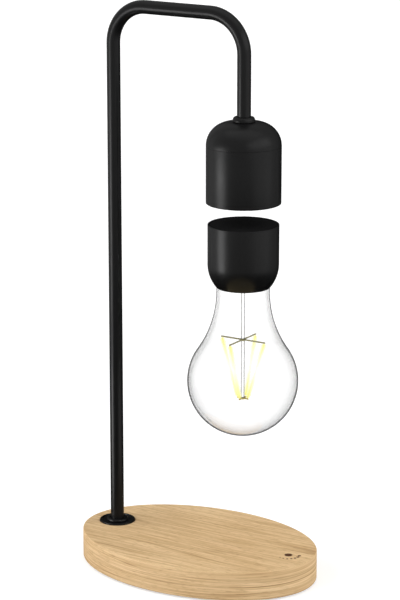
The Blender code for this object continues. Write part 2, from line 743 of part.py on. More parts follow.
def board_screws(stand):
    head_low = BOARD_TOP + FIT
    head_high = head_low + BOARD_SCREW_HEAD_HEIGHT
    tip = head_low - BOARD_SCREW_LENGTH
    profile = [(0, tip), (BOARD_SCREW_RADIUS, tip), (BOARD_SCREW_RADIUS, head_low)]
    profile += [(BOARD_SCREW_HEAD_RADIUS, head_low), (BOARD_SCREW_HEAD_RADIUS, head_high), (0, head_high)]
    copies("board_screw", turned(profile, WIRE_SIDES), "zinc", stand, board_screw_places())


def touch_pad(stand):
    high = BASE_TOP - TOUCH_SKIN - FIT
    shape = disc(TOUCH_PAD_RADIUS, high - TOUCH_PAD_THICK, high, DISC_SIDES)
    pad = place("touch_pad", shape, "copper", stand)
    pad.location = (TOUCH_X, TOUCH_Y, 0)
    return pad


def touch_lead(stand):
    lead_z = BOARD_TOP + TERMINAL_HEIGHT / 2
    pad_bottom = BASE_TOP - TOUCH_SKIN - FIT - TOUCH_PAD_THICK
    end_x = touch_terminal_x() + TERMINAL_SIDE / 2 + FIT
    corners = [(TOUCH_X, TOUCH_Y, pad_bottom - FIT), (TOUCH_X, TOUCH_Y, lead_z), (end_x, TOUCH_Y, lead_z)]
    path = filleted(corners, [TOUCH_LEAD_BEND], BEND_STEPS // 2)
    return place("touch_lead", swept(path, TOUCH_LEAD_RADIUS, WIRE_SIDES), "cable", stand)


# Power inlet

def inlet_axis(stand):
    """The inlet points out of the back edge, square to it: its +Z is the base's +Y."""
    made = empty("inlet_axis", (BAY_X, base_edge_y(BAY_X), BASE_BOTTOM + INLET_HEIGHT), stand)
    made.rotation_euler = (-math.pi / 2, 0, 0)
    return made


def inlet_housing(inlet):
    front = -INLET_SUNK
    flange_back = front - INLET_FLANGE_THICK
    back = -inlet_back()
    socket_floor = front - INLET_SOCKET_DEPTH
    pin_floor = socket_floor - INLET_PIN_SEAT
    pin_hole = INLET_PIN_RADIUS + FIT
    profile = [(0, back), (INLET_BARREL_RADIUS, back), (INLET_BARREL_RADIUS, flange_back)]
    profile += [(INLET_FLANGE_RADIUS, flange_back), (INLET_FLANGE_RADIUS, front)]
    profile += [(INLET_SOCKET_RADIUS, front), (INLET_SOCKET_RADIUS, socket_floor)]
    profile += [(pin_hole, socket_floor), (pin_hole, pin_floor), (0, pin_floor)]
    housing = place("inlet_housing", turned(profile, DISC_SIDES), "black_plastic", inlet)
    tags = bmesh.new()
    for x in (-INLET_TAG_X, INLET_TAG_X):
        prism(rectangle(INLET_TAG_SIDE, INLET_TAG_SIDE, x), back - INLET_TAG_LENGTH, back + OVERRUN, tags)
    return fuse(housing, helper("add_inlet_tags", tags, inlet))


def inlet_pin(inlet):
    high = -INLET_SUNK - INLET_PIN_BACK
    low = -INLET_SUNK - INLET_SOCKET_DEPTH - INLET_PIN_SEAT + FIT
    return place("inlet_pin", disc(INLET_PIN_RADIUS, low, high, PIN_SIDES), "nickel", inlet)


def inlet_nut(inlet):
    high = -inlet_wall() - FIT
    low = high - INLET_NUT_THICK
    nut = place("inlet_nut", prism(hexagon(INLET_NUT_FLATS), low, high), "nickel", inlet)
    hole = prism(circle(INLET_BARREL_RADIUS + FIT, DISC_SIDES), low - OVERRUN, high + OVERRUN)
    return carve(nut, helper("cut_inlet_nut", hole, inlet))


def inlet_leads(stand):
    """Two wires from the inlet's tags to the board."""
    tags_end = base_edge_y(BAY_X) - inlet_back() - INLET_TAG_LENGTH
    board_end = inlet_terminal_y() + TERMINAL_SIDE / 2
    start = Vector((0, tags_end - FIT, BASE_BOTTOM + INLET_HEIGHT))
    end = Vector((0, board_end + FIT, BOARD_TOP + TERMINAL_HEIGHT / 2))
    lead = swept([start, end], INLET_LEAD_RADIUS, WIRE_SIDES)
    places = [(BAY_X - INLET_TAG_X, 0), (BAY_X + INLET_TAG_X, 0)]
    copies("inlet_lead", lead, "cable", stand, places)


# Bent tube, what clamps it, and the cable inside it

def arm_corners(low, tip):
    return [(POLE_X, 0, low), (POLE_X, 0, BAR_Z), (HEAD_X, 0, BAR_Z), (HEAD_X, 0, tip)]


def arm_tube(stand):
    bends = [ARM_BEND, ARM_BEND]
    outside = filleted(arm_corners(TUBE_FOOT, TUBE_TIP), bends, BEND_STEPS)
    inside = filleted(arm_corners(TUBE_FOOT - OVERRUN, TUBE_TIP - OVERRUN), bends, BEND_STEPS)
    tube = place("arm_tube", swept(outside, TUBE_RADIUS, TUBE_SIDES), "black_coat", stand)
    bore = helper("cut_tube_bore", swept(inside, TUBE_RADIUS - TUBE_WALL, TUBE_SIDES), stand)
    return carve(tube, bore)


def arm_cable(stand):
    plug_z = BOARD_TOP + PLUG_HEIGHT / 2
    plug_face = plug_x() - PLUG_LENGTH / 2
    head_end = driver_board_top() + DRIVER_PLUG_HEIGHT + FIT
    corners = [
        (plug_face - FIT, 0, plug_z),
        (POLE_X + CABLE_RISE_END + CABLE_EASE, 0, plug_z),
        (POLE_X + CABLE_RISE_START, 0, CABLE_Z),
        (POLE_X, 0, CABLE_Z),
        (POLE_X, 0, BAR_Z),
        (HEAD_X, 0, BAR_Z),
        (HEAD_X, 0, head_end),
    ]
    bends = [CABLE_EASE, CABLE_EASE, CABLE_BEND, ARM_BEND, ARM_BEND]
    path = filleted(corners, bends, BEND_STEPS // 2 + 1)
    return place("arm_cable", swept(path, CABLE_RADIUS, WIRE_SIDES), "cable", stand)


def base_flange(pole):
    low = BASE_TOP - FLANGE_SUNK
    high = BASE_TOP + FLANGE_PROUD
    profile = [(TUBE_HOLE, low), (FLANGE_RADIUS, low), (FLANGE_RADIUS, high - FLANGE_EDGE)]
    profile += arc(FLANGE_RADIUS - FLANGE_EDGE, high - FLANGE_EDGE, FLANGE_EDGE, 0, math.pi / 2, 2)[1:]
    profile.append((TUBE_HOLE, high))
    return place("base_flange", turned(profile, SHELL_SIDES), "black_coat", pole)


def dome_ring(outer, height, low, top_wall=None):
    """A ring round the tube with its outer shoulder rounded off, as a quarter of an oval."""
    wall = top_wall or (outer - TUBE_HOLE) / 2
    across = outer - TUBE_HOLE - wall
    turns = [math.pi / 2 * step / 3 for step in range(4)]
    start = low + height / 4
    rise = height * 3 / 4
    rounded = [(TUBE_HOLE + wall + across * math.cos(turn), start + rise * math.sin(turn)) for turn in turns]
    return [(TUBE_HOLE, low), (outer, low), *rounded, (TUBE_HOLE, low + height)]


def pole_collar(pole):
    profile = dome_ring(COLLAR_RADIUS, COLLAR_HEIGHT, BASE_TOP + FLANGE_PROUD + FIT)
    return place("pole_collar", turned(profile, DISC_SIDES), "black_coat", pole)


def lock_nut(name, top, parent):
    """A hexagon nut with its corners turned off, threaded on the tube."""
    low = top - NUT_THICK
    corner = NUT_FLATS / 2 / math.cos(math.pi / 6)
    nut = place(name, prism(hexagon(NUT_FLATS), low, top), "zinc", parent)
    hole = prism(circle(TUBE_HOLE, TUBE_SIDES), low - OVERRUN, top + OVERRUN)
    flat = NUT_FLATS / 2
    lathe = [(0, low - OVERRUN), (flat, low - OVERRUN), (flat, low), (corner, low + NUT_CHAMFER)]
    lathe += [(corner, top - NUT_CHAMFER), (flat, top), (flat, top + OVERRUN), (0, top + OVERRUN)]
    boolean(nut, [helper(f"turn_{name}", turned(lathe, 2 * WIRE_SIDES), parent)], "INTERSECT")
    return carve(nut, helper(f"cut_{name}", hole, parent))


def pole_clamp(pole):
    washer = ring(WASHER_RADIUS, TUBE_HOLE, POLE_WASHER_TOP - WASHER_THICK, POLE_WASHER_TOP, DISC_SIDES)
    place("pole_washer", washer, "zinc", pole)
    lock_nut("pole_lock_nut", POLE_NUT_TOP, pole)


# Head shell

def head_dome(head):
    shell = arc(HEAD_RADIUS - DOME_FILLET, SEAM, DOME_FILLET, 0, math.pi / 2, 7)
    inner_fillet = DOME_FILLET - DOME_WALL
    inside = arc(HEAD_RADIUS - DOME_FILLET, SEAM, inner_fillet, math.pi / 2, math.radians(12), 3)
    spigot_outer = HEAD_INNER - FIT
    spigot_inner = spigot_outer - SPIGOT_WALL
    crown = HEAD_HIGH - CROWN_WALL
    step_z = SEAM + SPIGOT_STEP
    profile = [(HEAD_RADIUS, SEAM + FIT), *shell[1:], (TUBE_HOLE, HEAD_HIGH), (TUBE_HOLE, crown)]
    profile += [(inside[0][0], crown), *inside[1:], (inside[-1][0], step_z), (spigot_inner, step_z)]
    spigot_low = SEAM - SPIGOT_LENGTH
    profile += [(spigot_inner, spigot_low), (spigot_outer, spigot_low), (spigot_outer, SEAM + FIT)]
    return place("head_dome", turned(profile, SHELL_SIDES), "black_coat", head)


def head_skirt(head):
    lip = HEAD_RADIUS - SKIRT_LIP
    ledge = HEAD_LOW + END_PLATE_RECESS + END_PLATE_THICK + FIT
    profile = [(lip, HEAD_LOW), (HEAD_RADIUS - SKIRT_EDGE, HEAD_LOW), (HEAD_RADIUS, HEAD_LOW + SKIRT_EDGE)]
    profile += [(HEAD_RADIUS, SEAM), (HEAD_INNER, SEAM), (HEAD_INNER, ledge), (lip, ledge)]
    return place("head_skirt", turned(profile, SHELL_SIDES), "black_coat", head)


def head_grommet(head):
    profile = dome_ring(GROMMET_RADIUS, GROMMET_HEIGHT, HEAD_HIGH + FIT, GROMMET_TOP_WALL)
    return place("head_grommet", turned(profile, DISC_SIDES), "black_coat", head)


def head_clamp(head):
    low = HEAD_WASHER_TOP - WASHER_THICK
    place("head_washer", ring(HEAD_WASHER_RADIUS, TUBE_HOLE, low, HEAD_WASHER_TOP, DISC_SIDES), "zinc", head)
    lock_nut("head_lock_nut", HEAD_NUT_TOP, head)


# Levitation works in the head: the sensor lies on the end plate, the board hangs below the tube's
# tip, and the coil fills the height that is left between them

def end_plate_top():
    return HEAD_LOW + END_PLATE_RECESS + END_PLATE_THICK


def sensor_top():
    return end_plate_top() + FIT + SENSOR_BOARD_THICK + SENSOR_HEIGHT


def bobbin_bottom():
    return sensor_top() + FIT


def driver_board_top():
    return TUBE_TIP - DRIVER_HEADROOM - DRIVER_PLUG_HEIGHT


def driver_board_bottom():
    return driver_board_top() - DRIVER_BOARD_THICK


def lifting_magnet_top():
    return driver_board_bottom() - FIT


def bobbin_top():
    return lifting_magnet_top() - MAGNET_THICK - FIT


def head_end_plate(head):
    radius = HEAD_RADIUS - SKIRT_LIP - FIT
    low = HEAD_LOW + END_PLATE_RECESS
    plate = disc(radius, low, low + END_PLATE_THICK, SHELL_SIDES)
    return place("head_end_plate", plate, "black_plastic", head)


def transmit_coil(head):
    low = end_plate_top() + FIT
    coil = ring(FLAT_COIL_RADIUS, FLAT_COIL_HOLE, low, low + FLAT_COIL_THICK, DISC_SIDES)
    return place("transmit_coil", coil, "copper", head)


def sensor_board(head):
    low = end_plate_top() + FIT
    high = low + SENSOR_BOARD_THICK
    board = place("sensor_board", disc(SENSOR_BOARD_RADIUS, low, high, DISC_SIDES), "board", head)
    sensor = prism(rectangle(SENSOR_SIDE, SENSOR_SIDE), low + SENSOR_BOARD_THICK / 2, high + SENSOR_HEIGHT)
    return fuse(board, helper("add_field_sensor", sensor, head))


def coil_bobbin(head):
    low = bobbin_bottom()
    high = bobbin_top()
    bore = CORE_RADIUS + FIT
    hub = bore + BOBBIN_HUB_WALL
    lower_flange = [(bore, low), (BOBBIN_RADIUS, low), (BOBBIN_RADIUS, low + BOBBIN_FLANGE)]
    hub_side = [(hub, low + BOBBIN_FLANGE), (hub, high - BOBBIN_FLANGE)]
    upper_flange = [(BOBBIN_RADIUS, high - BOBBIN_FLANGE), (BOBBIN_RADIUS, high), (bore, high)]
    profile = lower_flange + hub_side + upper_flange
    bobbin = place("coil_bobbin", turned(profile, DISC_SIDES), "clear_plastic", head)
    posts = bmesh.new()
    post_top = driver_board_bottom() - FIT
    for x, y in scatter(POST_COUNT, POST_CIRCLE):
        prism(circle(POST_RADIUS, PIN_SIDES, x, y), high - BOBBIN_FLANGE / 2, post_top, posts)
    return fuse(bobbin, helper("add_board_posts", posts, head))


def coil_winding(head):
    """The wound copper fills the bobbin, a little fuller at the middle of its height."""
    low = bobbin_bottom() + BOBBIN_FLANGE + FIT
    high = bobbin_top() - BOBBIN_FLANGE - FIT
    inner = CORE_RADIUS + FIT + BOBBIN_HUB_WALL + FIT
    bulges = [math.sin(math.pi * step / 4) for step in range(5)]
    side = [
        (WINDING_RADIUS - WINDING_CROWN + WINDING_CROWN * bulge, low + (high - low) * step / 4)
        for step, bulge in enumerate(bulges)
    ]
    return place("coil_winding", turned([(inner, low), *side, (inner, high)], DISC_SIDES), "copper", head)


def iron_core(head):
    core = disc(CORE_RADIUS, bobbin_bottom(), bobbin_top(), DISC_SIDES)
    return place("iron_core", core, "iron", head)


def lifting_magnet(head):
    top = lifting_magnet_top()
    magnet = disc(MAGNET_RADIUS, top - MAGNET_THICK, top, DISC_SIDES, MAGNET_EDGE)
    return place("lifting_magnet", magnet, "nickel", head)


def loaded_board(name, radius, low, thick, parts, part_side, part_height, parent):
    """A round board with square parts on it, at the given places."""
    high = low + thick
    board = place(name, disc(radius, low, high, DISC_SIDES), "board", parent)
    loaded = bmesh.new()
    for x, y in parts:
        prism(rectangle(part_side, part_side, x, y), low + thick / 2, high + part_height, loaded)
    return fuse(board, helper(f"add_{name}_parts", loaded, parent))


def driver_board(head):
    low = driver_board_bottom()
    part_circle = DRIVER_BOARD_RADIUS - DRIVER_PART_INSET
    places = scatter(DRIVER_PART_COUNT, part_circle, math.pi / DRIVER_PART_COUNT)
    board = loaded_board(
        "driver_board",
        DRIVER_BOARD_RADIUS,
        low,
        DRIVER_BOARD_THICK,
        places,
        DRIVER_PART_SIDE,
        DRIVER_PART_HEIGHT,
        head,
    )
    plug = prism(
        rectangle(DRIVER_PLUG_SIDE, DRIVER_PLUG_SIDE),
        low + DRIVER_BOARD_THICK / 2,
        low + DRIVER_BOARD_THICK + DRIVER_PLUG_HEIGHT,
    )
    return fuse(board, helper("add_driver_plug", plug, head))


# Floating cap and what is in it

def lid_bottom():
    return CAP_TOP - LID_RECESS - LID_THICK


def float_coil_bottom():
    return lid_bottom() - FIT - FLOAT_COIL_THICK


def holder_top():
    return float_coil_bottom() - FIT


def socket_top():
    return NECK_TOP + FIT + SOCKET_LIP


def float_cap(bulb):
    centre_r = CAP_RADIUS - CAP_CURVE
    centre_z = CAP_TOP - CAP_STRAIGHT
    rim_inner = NECK_INNER + FIT
    lid_hole = CAP_RADIUS - CAP_RIM
    ledge = lid_bottom() - FIT
    outside = arc(centre_r, centre_z, CAP_CURVE, -CAP_SWEEP, 0, 6)
    inside = arc(centre_r, centre_z, CAP_CURVE - CAP_WALL, 0, -CAP_SWEEP, 3)
    profile = [*outside, (CAP_RADIUS, CAP_TOP), (lid_hole, CAP_TOP), (lid_hole, ledge), (CAP_INNER, ledge)]
    profile += [*inside, (rim_inner, inside[-1][1] - FIT), (rim_inner, CAP_RIM_Z)]
    return place("float_cap", turned(profile, SHELL_SIDES), "black_coat", bulb)


def float_lid(bulb):
    radius = CAP_RADIUS - CAP_RIM - FIT
    low = lid_bottom()
    return place("float_lid", disc(radius, low, low + LID_THICK, SHELL_SIDES), "black_plastic", bulb)


def receive_coil(bulb):
    low = float_coil_bottom()
    outer = CAP_INNER - FLOAT_COIL_TO_CAP
    coil = ring(outer, FLOAT_COIL_HOLE, low, low + FLOAT_COIL_THICK, DISC_SIDES)
    return place("receive_coil", coil, "copper", bulb)


def magnet_holder(bulb):
    """A cup round the magnet, hung from a flange whose skirt stands on the bulb socket."""
    top = holder_top()
    pocket = FLOAT_MAGNET_RADIUS + FIT
    pocket_floor = top - FIT - FLOAT_MAGNET_THICK - FIT
    outer = CAP_INNER - FIT
    skirt_low = socket_top() + FIT
    profile = [(0, pocket_floor - HOLDER_WALL), (pocket + HOLDER_WALL, pocket_floor - HOLDER_WALL)]
    profile += [(pocket + HOLDER_WALL, top - HOLDER_TOP), (outer - HOLDER_WALL, top - HOLDER_TOP)]
    profile += [(outer - HOLDER_WALL, skirt_low), (outer, skirt_low), (outer, top), (pocket, top)]
    profile += [(pocket, pocket_floor), (0, pocket_floor)]
    return place("magnet_holder", turned(profile, DISC_SIDES), "clear_plastic", bulb)


def float_magnet(lift):
    top = holder_top() - FIT
    magnet = disc(FLOAT_MAGNET_RADIUS, top - FLOAT_MAGNET_THICK, top, DISC_SIDES, MAGNET_EDGE)
    return place("float_magnet", magnet, "nickel", lift)


def rectifier_board(bulb):
    radius = CAP_INNER - HOLDER_WALL - 3 * FIT
    places = scatter(RECTIFIER_PART_COUNT, RECTIFIER_PART_CIRCLE)
    return loaded_board(
        "rectifier_board",
        radius,
        socket_top() + FIT,
        RECTIFIER_THICK,
        places,
        RECTIFIER_PART_SIDE,
        RECTIFIER_PART_HEIGHT,
        bulb,
    )


def bulb_socket(bulb):
    """Plastic ring that grips the glass neck and follows the inside of the cap."""
    centre_r = CAP_RADIUS - CAP_CURVE
    centre_z = CAP_TOP - CAP_STRAIGHT
    curve = CAP_CURVE - CAP_WALL - FIT
    low = NECK_TOP - SOCKET_BELOW
    bore = NECK_INNER + FIT
    start = -math.asin((centre_z - low) / curve)
    outside = arc(centre_r, centre_z, curve, start, 0, 3)
    lip_hole = NECK_INNER - SOCKET_LIP_REACH
    profile = [(bore, low), *outside, (outside[-1][0], socket_top()), (lip_hole, socket_top())]
    profile += [(lip_hole, NECK_TOP + FIT), (bore, NECK_TOP + FIT)]
    return place("bulb_socket", turned(profile, DISC_SIDES), "clear_plastic", bulb)


# Glass bulb, its stem, supports and light rods

def glass_curve(wall, globe_steps, shoulder_steps):
    """Sphere, then concave shoulder up to the straight neck, at this depth inside the outer skin."""
    across = NECK_RADIUS + GLASS_SHOULDER
    rise = math.sqrt((GLASS_RADIUS + GLASS_SHOULDER) ** 2 - across**2)
    meeting = math.atan2(rise, across)
    shoulder_z = CAP_RIM_Z - NECK_STRAIGHT
    globe = arc(0, shoulder_z - rise, GLASS_RADIUS - wall, -math.pi / 2, meeting, globe_steps)
    curve = GLASS_SHOULDER + wall
    shoulder = arc(across, shoulder_z, curve, math.pi + meeting, math.pi, shoulder_steps)
    return [(0, globe[0][1]), *globe[1:], *shoulder[1:]]


def glass_bulb(bulb):
    outside = glass_curve(0.0, 12, 4)
    inside = glass_curve(GLASS_WALL, 6, 3)
    neck_inside = NECK_INNER - GLASS_WALL
    slope_low = NECK_SEAT_Z - GLASS_WALL
    profile = [*outside, (NECK_RADIUS, NECK_SEAT_Z), (NECK_INNER, NECK_SEAT_Z), (NECK_INNER, NECK_TOP)]
    profile += [(neck_inside, NECK_TOP), (neck_inside, NECK_SEAT_Z), (NECK_RADIUS - GLASS_WALL, slope_low)]
    profile += inside[::-1]
    return place("glass_bulb", turned(profile, GLASS_SIDES), "glass", bulb)


def upper_support_z():
    return CAP_RIM_Z - UPPER_SUPPORT_DROP


def lower_support_z():
    return CAP_RIM_Z - LOWER_SUPPORT_DROP


def glass_stem(bulb):
    """Glass rod that opens into a flare inside the neck, like the foot of a wine glass upside down."""
    rim = NECK_INNER - GLASS_WALL - FIT
    top = NECK_TOP - FIT
    low = lower_support_z() - ROD_PAST_SUPPORT
    flare_from = top - FLARE_HEIGHT - FLARE_CORE
    steps = 5
    widening = rim - ROD_RADIUS
    rise = top - flare_from
    outside = [
        (ROD_RADIUS + widening * (step / steps) ** 2, flare_from + rise * step / steps)
        for step in range(steps + 1)
    ]
    inner_rim = rim - FLARE_WALL
    hollow_low = flare_from + FLARE_CORE + FLARE_WALL
    inside = [
        (inner_rim * (step / steps), hollow_low + (top - hollow_low) * (step / steps) ** 0.5)
        for step in range(steps, -1, -1)
    ]
    profile = [(0, low), (ROD_RADIUS, low), *outside, *inside]
    return place("glass_stem", turned(profile, DISC_SIDES), "glass", bulb)


def wire_support(name, height, reach, bulb):
    """A ring round the stem with four wires reaching out."""
    inner = ROD_RADIUS + FIT
    outer = inner + SUPPORT_RING_WALL
    half = SUPPORT_RING_HEIGHT / 2
    support = place(name, ring(outer, inner, height - half, height + half, PIN_SIDES), "support_wire", bulb)
    middle = (inner + outer) / 2
    arms = []
    for number, (x, y) in enumerate(scatter(LIGHT_ROD_COUNT, 1.0), 1):
        path = [Vector((x * middle, y * middle, height)), Vector((x * reach, y * reach, height))]
        arms.append(helper(f"add_{name}_arm_{number}", swept(path, SUPPORT_WIRE, WIRE_SIDES), bulb))
    return fuse(support, *arms)


def light_rods(bulb):
    """Four light rods lean in from the upper wires' ends to the lower ones."""
    clear = SUPPORT_WIRE + FIT
    top = Vector((UPPER_ARM - LIGHT_ROD_END, 0, upper_support_z() - clear))
    foot = Vector((LOWER_ARM - LIGHT_ROD_END, 0, lower_support_z() + clear))
    along = top - foot
    length = along.length
    shoulder = LIGHT_ROD_RADIUS / 2
    profile = [(0, 0), (LIGHT_TAB_RADIUS, 0), (LIGHT_TAB_RADIUS, LIGHT_TAB_LENGTH)]
    body_end = length - LIGHT_TAB_LENGTH
    profile += [(LIGHT_ROD_RADIUS, LIGHT_TAB_LENGTH + shoulder), (LIGHT_ROD_RADIUS, body_end - shoulder)]
    profile += [(LIGHT_TAB_RADIUS, body_end), (LIGHT_TAB_RADIUS, length), (0, length)]
    lean = along.to_track_quat("Z", "Y").to_matrix().to_4x4()
    for number in range(LIGHT_ROD_COUNT):
        rod = place(f"light_rod_{number + 1}", turned(profile, PIN_SIDES), "light_rod", bulb)
        about = Matrix.Rotation(2 * math.pi * number / LIGHT_ROD_COUNT, 4, "Z")
        rod.matrix_local = about @ Matrix.Translation(foot) @ lean


def build_base(stand):
    body = base_body(stand)
    bottom_plate(stand)
    plate_screws(stand)
    feet(stand)
    control_board(stand)
    board_screws(stand)
    touch_pad(stand)
    touch_lead(stand)
    inlet = inlet_axis(stand)
    carve(body, inlet_bore(inlet))
    inlet_housing(inlet)
    inlet_pin(inlet)
    inlet_nut(inlet)
    inlet_leads(stand)


def build_arm(stand):
    pole = empty("pole_axis", (POLE_X, 0, 0), stand)
    arm_tube(stand)
    arm_cable(stand)
    base_flange(pole)
    pole_collar(pole)
    pole_clamp(pole)


def build_head(stand):
    head = empty("head_axis", (HEAD_X, 0, 0), stand)
    head_dome(head)
    head_skirt(head)
    head_grommet(head)
    head_clamp(head)
    head_end_plate(head)
    transmit_coil(head)
    sensor_board(head)
    coil_bobbin(head)
    coil_winding(head)
    iron_core(head)
    lifting_magnet(head)
    driver_board(head)


def build_float():
    """What floats: the magnet only rises and falls, and the rest also spins about the same axis."""
    lift = empty("lift_axis", (HEAD_X, 0, 0))
    bulb = empty("spin_axis", (0, 0, 0), lift)
    float_magnet(lift)
    float_cap(bulb)
    float_lid(bulb)
    receive_coil(bulb)
    magnet_holder(bulb)
    rectifier_board(bulb)
    bulb_socket(bulb)
    glass_bulb(bulb)
    glass_stem(bulb)
    wire_support("upper_support", upper_support_z(), UPPER_ARM, bulb)
    wire_support("lower_support", lower_support_z(), LOWER_ARM, bulb)
    light_rods(bulb)


def main():
    clear_scene()
    stand = empty("stand")
    build_base(stand)
    build_arm(stand)
    build_head(stand)
    build_float()


main()
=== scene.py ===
"""Looks of the levitating lamp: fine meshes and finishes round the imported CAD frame, with a white studio.
Metres, +Z up. The origin is on the table under the middle of the oval base; +X runs from pole to bulb."""

import math

import bmesh
import bpy
from mathutils import Matrix, Vector

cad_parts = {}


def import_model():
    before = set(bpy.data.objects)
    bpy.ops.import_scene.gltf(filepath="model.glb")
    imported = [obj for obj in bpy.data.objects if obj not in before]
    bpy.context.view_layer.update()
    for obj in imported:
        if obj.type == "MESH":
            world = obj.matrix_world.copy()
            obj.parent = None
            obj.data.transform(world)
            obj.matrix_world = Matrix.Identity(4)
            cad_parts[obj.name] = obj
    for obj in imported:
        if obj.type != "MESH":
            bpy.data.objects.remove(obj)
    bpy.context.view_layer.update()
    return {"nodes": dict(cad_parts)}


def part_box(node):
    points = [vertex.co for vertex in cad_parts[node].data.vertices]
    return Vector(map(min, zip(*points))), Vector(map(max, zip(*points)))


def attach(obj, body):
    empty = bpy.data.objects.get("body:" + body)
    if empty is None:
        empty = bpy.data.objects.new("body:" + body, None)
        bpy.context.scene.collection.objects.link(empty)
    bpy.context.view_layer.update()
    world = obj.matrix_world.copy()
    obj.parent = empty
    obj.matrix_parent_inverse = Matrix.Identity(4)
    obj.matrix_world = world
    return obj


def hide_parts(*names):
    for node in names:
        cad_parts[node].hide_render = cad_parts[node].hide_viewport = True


MM = 0.001

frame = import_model()
NODES = frame["nodes"]


def middle(node):
    """Middle of a CAD node's box."""
    low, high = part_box(node)
    return (low + high) / 2


def span(node):
    """The heights of a CAD node's underside and top."""
    low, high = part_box(node)
    return low.z, high.z


def low_z(node):
    return span(node)[0]


def high_z(node):
    return span(node)[1]


def half_width(node):
    low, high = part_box(node)
    return (high.y - low.y) / 2


def four(name):
    """The names of four like nodes, such as rubber_foot_1 to rubber_foot_4."""
    return [f"{name}_{number}" for number in range(1, 5)]


# Fineness of the meshes
OVAL_SIDES = 320
GLASS_SIDES = 160
ROUND_SIDES = 128
BROAD_SIDES = 96
TUBE_SIDES = 64
SMALL_SIDES = 48
ROD_SIDES = 32
WIRE_SIDES = 20
PILOT_SIDES = 16
GLOBE_STEPS = 72
SHOULDER_STEPS = 36
ARC_STEPS = 28
BOWL_STEPS = 24
FLARE_STEPS = 20
COLLAR_STEPS = 12
TOP_EDGE_STEPS = 8
FINE_EDGE_STEPS = 6
EDGE_STEPS = 4
DOT_EDGE_STEPS = 2
SMOOTH_ANGLE = math.radians(35)
WELD = 0.0005 * MM
SLIVER = 0.004 * MM

# Room between pieces, as in the solids
FIT = 0.3 * MM
OVERRUN = 1.0 * MM

# Places taken from the frame
BASE_LOW, BASE_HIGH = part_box("base_body")
BASE_HALF = Vector((BASE_HIGH.x, BASE_HIGH.y))
BASE_BOTTOM = BASE_LOW.z
BASE_TOP = BASE_HIGH.z
POLE_X = middle("base_flange").x
HEAD_X = middle("head_skirt").x
HEAD_LOW = low_z("head_skirt")
SEAM = high_z("head_skirt")
HEAD_HIGH = high_z("head_dome")
HEAD_RADIUS = half_width("head_skirt")
CAP_TOP = high_z("float_cap")
CAP_RADIUS = half_width("float_cap")
CAP_RIM_Z = low_z("float_cap")
UPPER_Z = middle("upper_support").z
LOWER_Z = middle("lower_support").z

# Base and what is let into it
BASE_EDGE = 0.7 * MM
TOP_EDGE = 0.65 * MM
EDGE_BORDER = 0.35 * MM
PLATE_INSET = 7.0 * MM
PLATE_SEAT = 1.8 * MM
FLANGE_SUNK = 1.4 * MM
NUT_BAY_RADIUS = 8.4 * MM
DUCT_WIDTH = 6.0 * MM
DUCT_DROP = 2.4 * MM
PILOT_RADIUS = 1.4 * MM
TOUCH_BORE_RADIUS = 5.6 * MM
TOUCH_SKIN = 1.8 * MM
TOUCH_DUCT_WIDTH = 4.6 * MM
TOUCH_DUCT_DROP = 1.0 * MM
BAY_FROM_POLE = 16.2 * MM
BAY_FROM_TOUCH = 6.5 * MM
BAY_SIDE_WALL = 14.35 * MM
BAY_HEADROOM = 1.16 * MM

# Feet, with a shallow recess below
FOOT_EDGE = 0.3 * MM
FOOT_RIM = 1.2 * MM
FOOT_RIM_EDGE = 0.15 * MM
FOOT_RIM_SLOPE = 0.3 * MM
FOOT_RECESS = 0.25 * MM

# Power inlet
INLET_RADIUS = 4.8 * MM
INLET_THICK = 1.2 * MM
INLET_EDGE = 0.1 * MM
FACE_EDGE = 0.25 * MM
BARREL_RADIUS = 3.5 * MM
BARREL_EDGE = 0.2 * MM
SOCKET_RADIUS = 2.85 * MM
SOCKET_DEPTH = 9.5 * MM
PIN_RADIUS = 1.05 * MM
PIN_SEAT = 2.0 * MM
PIN_BACK = 1.0 * MM
PIN_EDGE = 0.4 * MM
INLET_SUNK = 0.3 * MM
TAG_LENGTH = 3.0 * MM
TAG_SIDE = 0.9 * MM
TAG_X = 1.6 * MM
TAG_ROOT = 0.2 * MM

# Touch mark
DOT_RADIUS = 2.2 * MM
DOT_COUNT = 7
DOT_SMALLEST = 0.40 * MM
DOT_LARGEST = 0.95 * MM
DOT_ARC_RADIUS = 6.0 * MM
DOT_ARC_START = math.radians(-110)
DOT_ARC_END = math.radians(20)
DOT_DEPTH = 0.2 * MM
DOT_PROUD = 0.02 * MM

# Tube, and the flange and collars round it
TUBE_RADIUS = 3.72 * MM
TUBE_WALL = 0.8 * MM
TUBE_HOLE = TUBE_RADIUS + FIT
ARM_BEND = 20.7 * MM
ARM_PAST_NUT = 0.4 * MM
BAR_Z = high_z("arm_tube") - TUBE_RADIUS
LIP_PROUD = 0.8 * MM
LIP_BREADTH = 0.9 * MM
LIP_SLOPE = 0.25 * MM
LIP_OUTER_EDGE = 0.35 * MM
LIP_INNER_EDGE = 0.25 * MM
LIP_FOOT_EDGE = 0.1 * MM
GROMMET_LIP = 0.7 * MM
COLLAR_UPRIGHT_SHARE = 0.25

# Head
DOME_FILLET = 12.6 * MM
DOME_FROM = math.radians(2.5)
DOME_WALL = 1.8 * MM
DOME_INSIDE_TO = math.radians(12)
CROWN_WALL = 2.2 * MM
SKIRT_WALL = 1.6 * MM
SKIRT_LIP = 0.9 * MM
SKIRT_LIP_EDGE = 0.15 * MM
SPIGOT_LENGTH = 4.0 * MM
SPIGOT_WALL = 1.3 * MM
SPIGOT_STEP = 1.2 * MM
SEAM_EDGE = 0.06 * MM
SEAM_GAP = 0.05 * MM
SKIRT_EDGE = 0.35 * MM
UNDERSIDE_EDGE = 0.2 * MM
GROOVE_BORDER = 2.2 * MM
GROOVE_BREADTH = 0.8 * MM
GROOVE_SLOPE = 0.2 * MM
GROOVE_DEPTH = 0.4 * MM
GROOVE_EDGE = 0.15 * MM

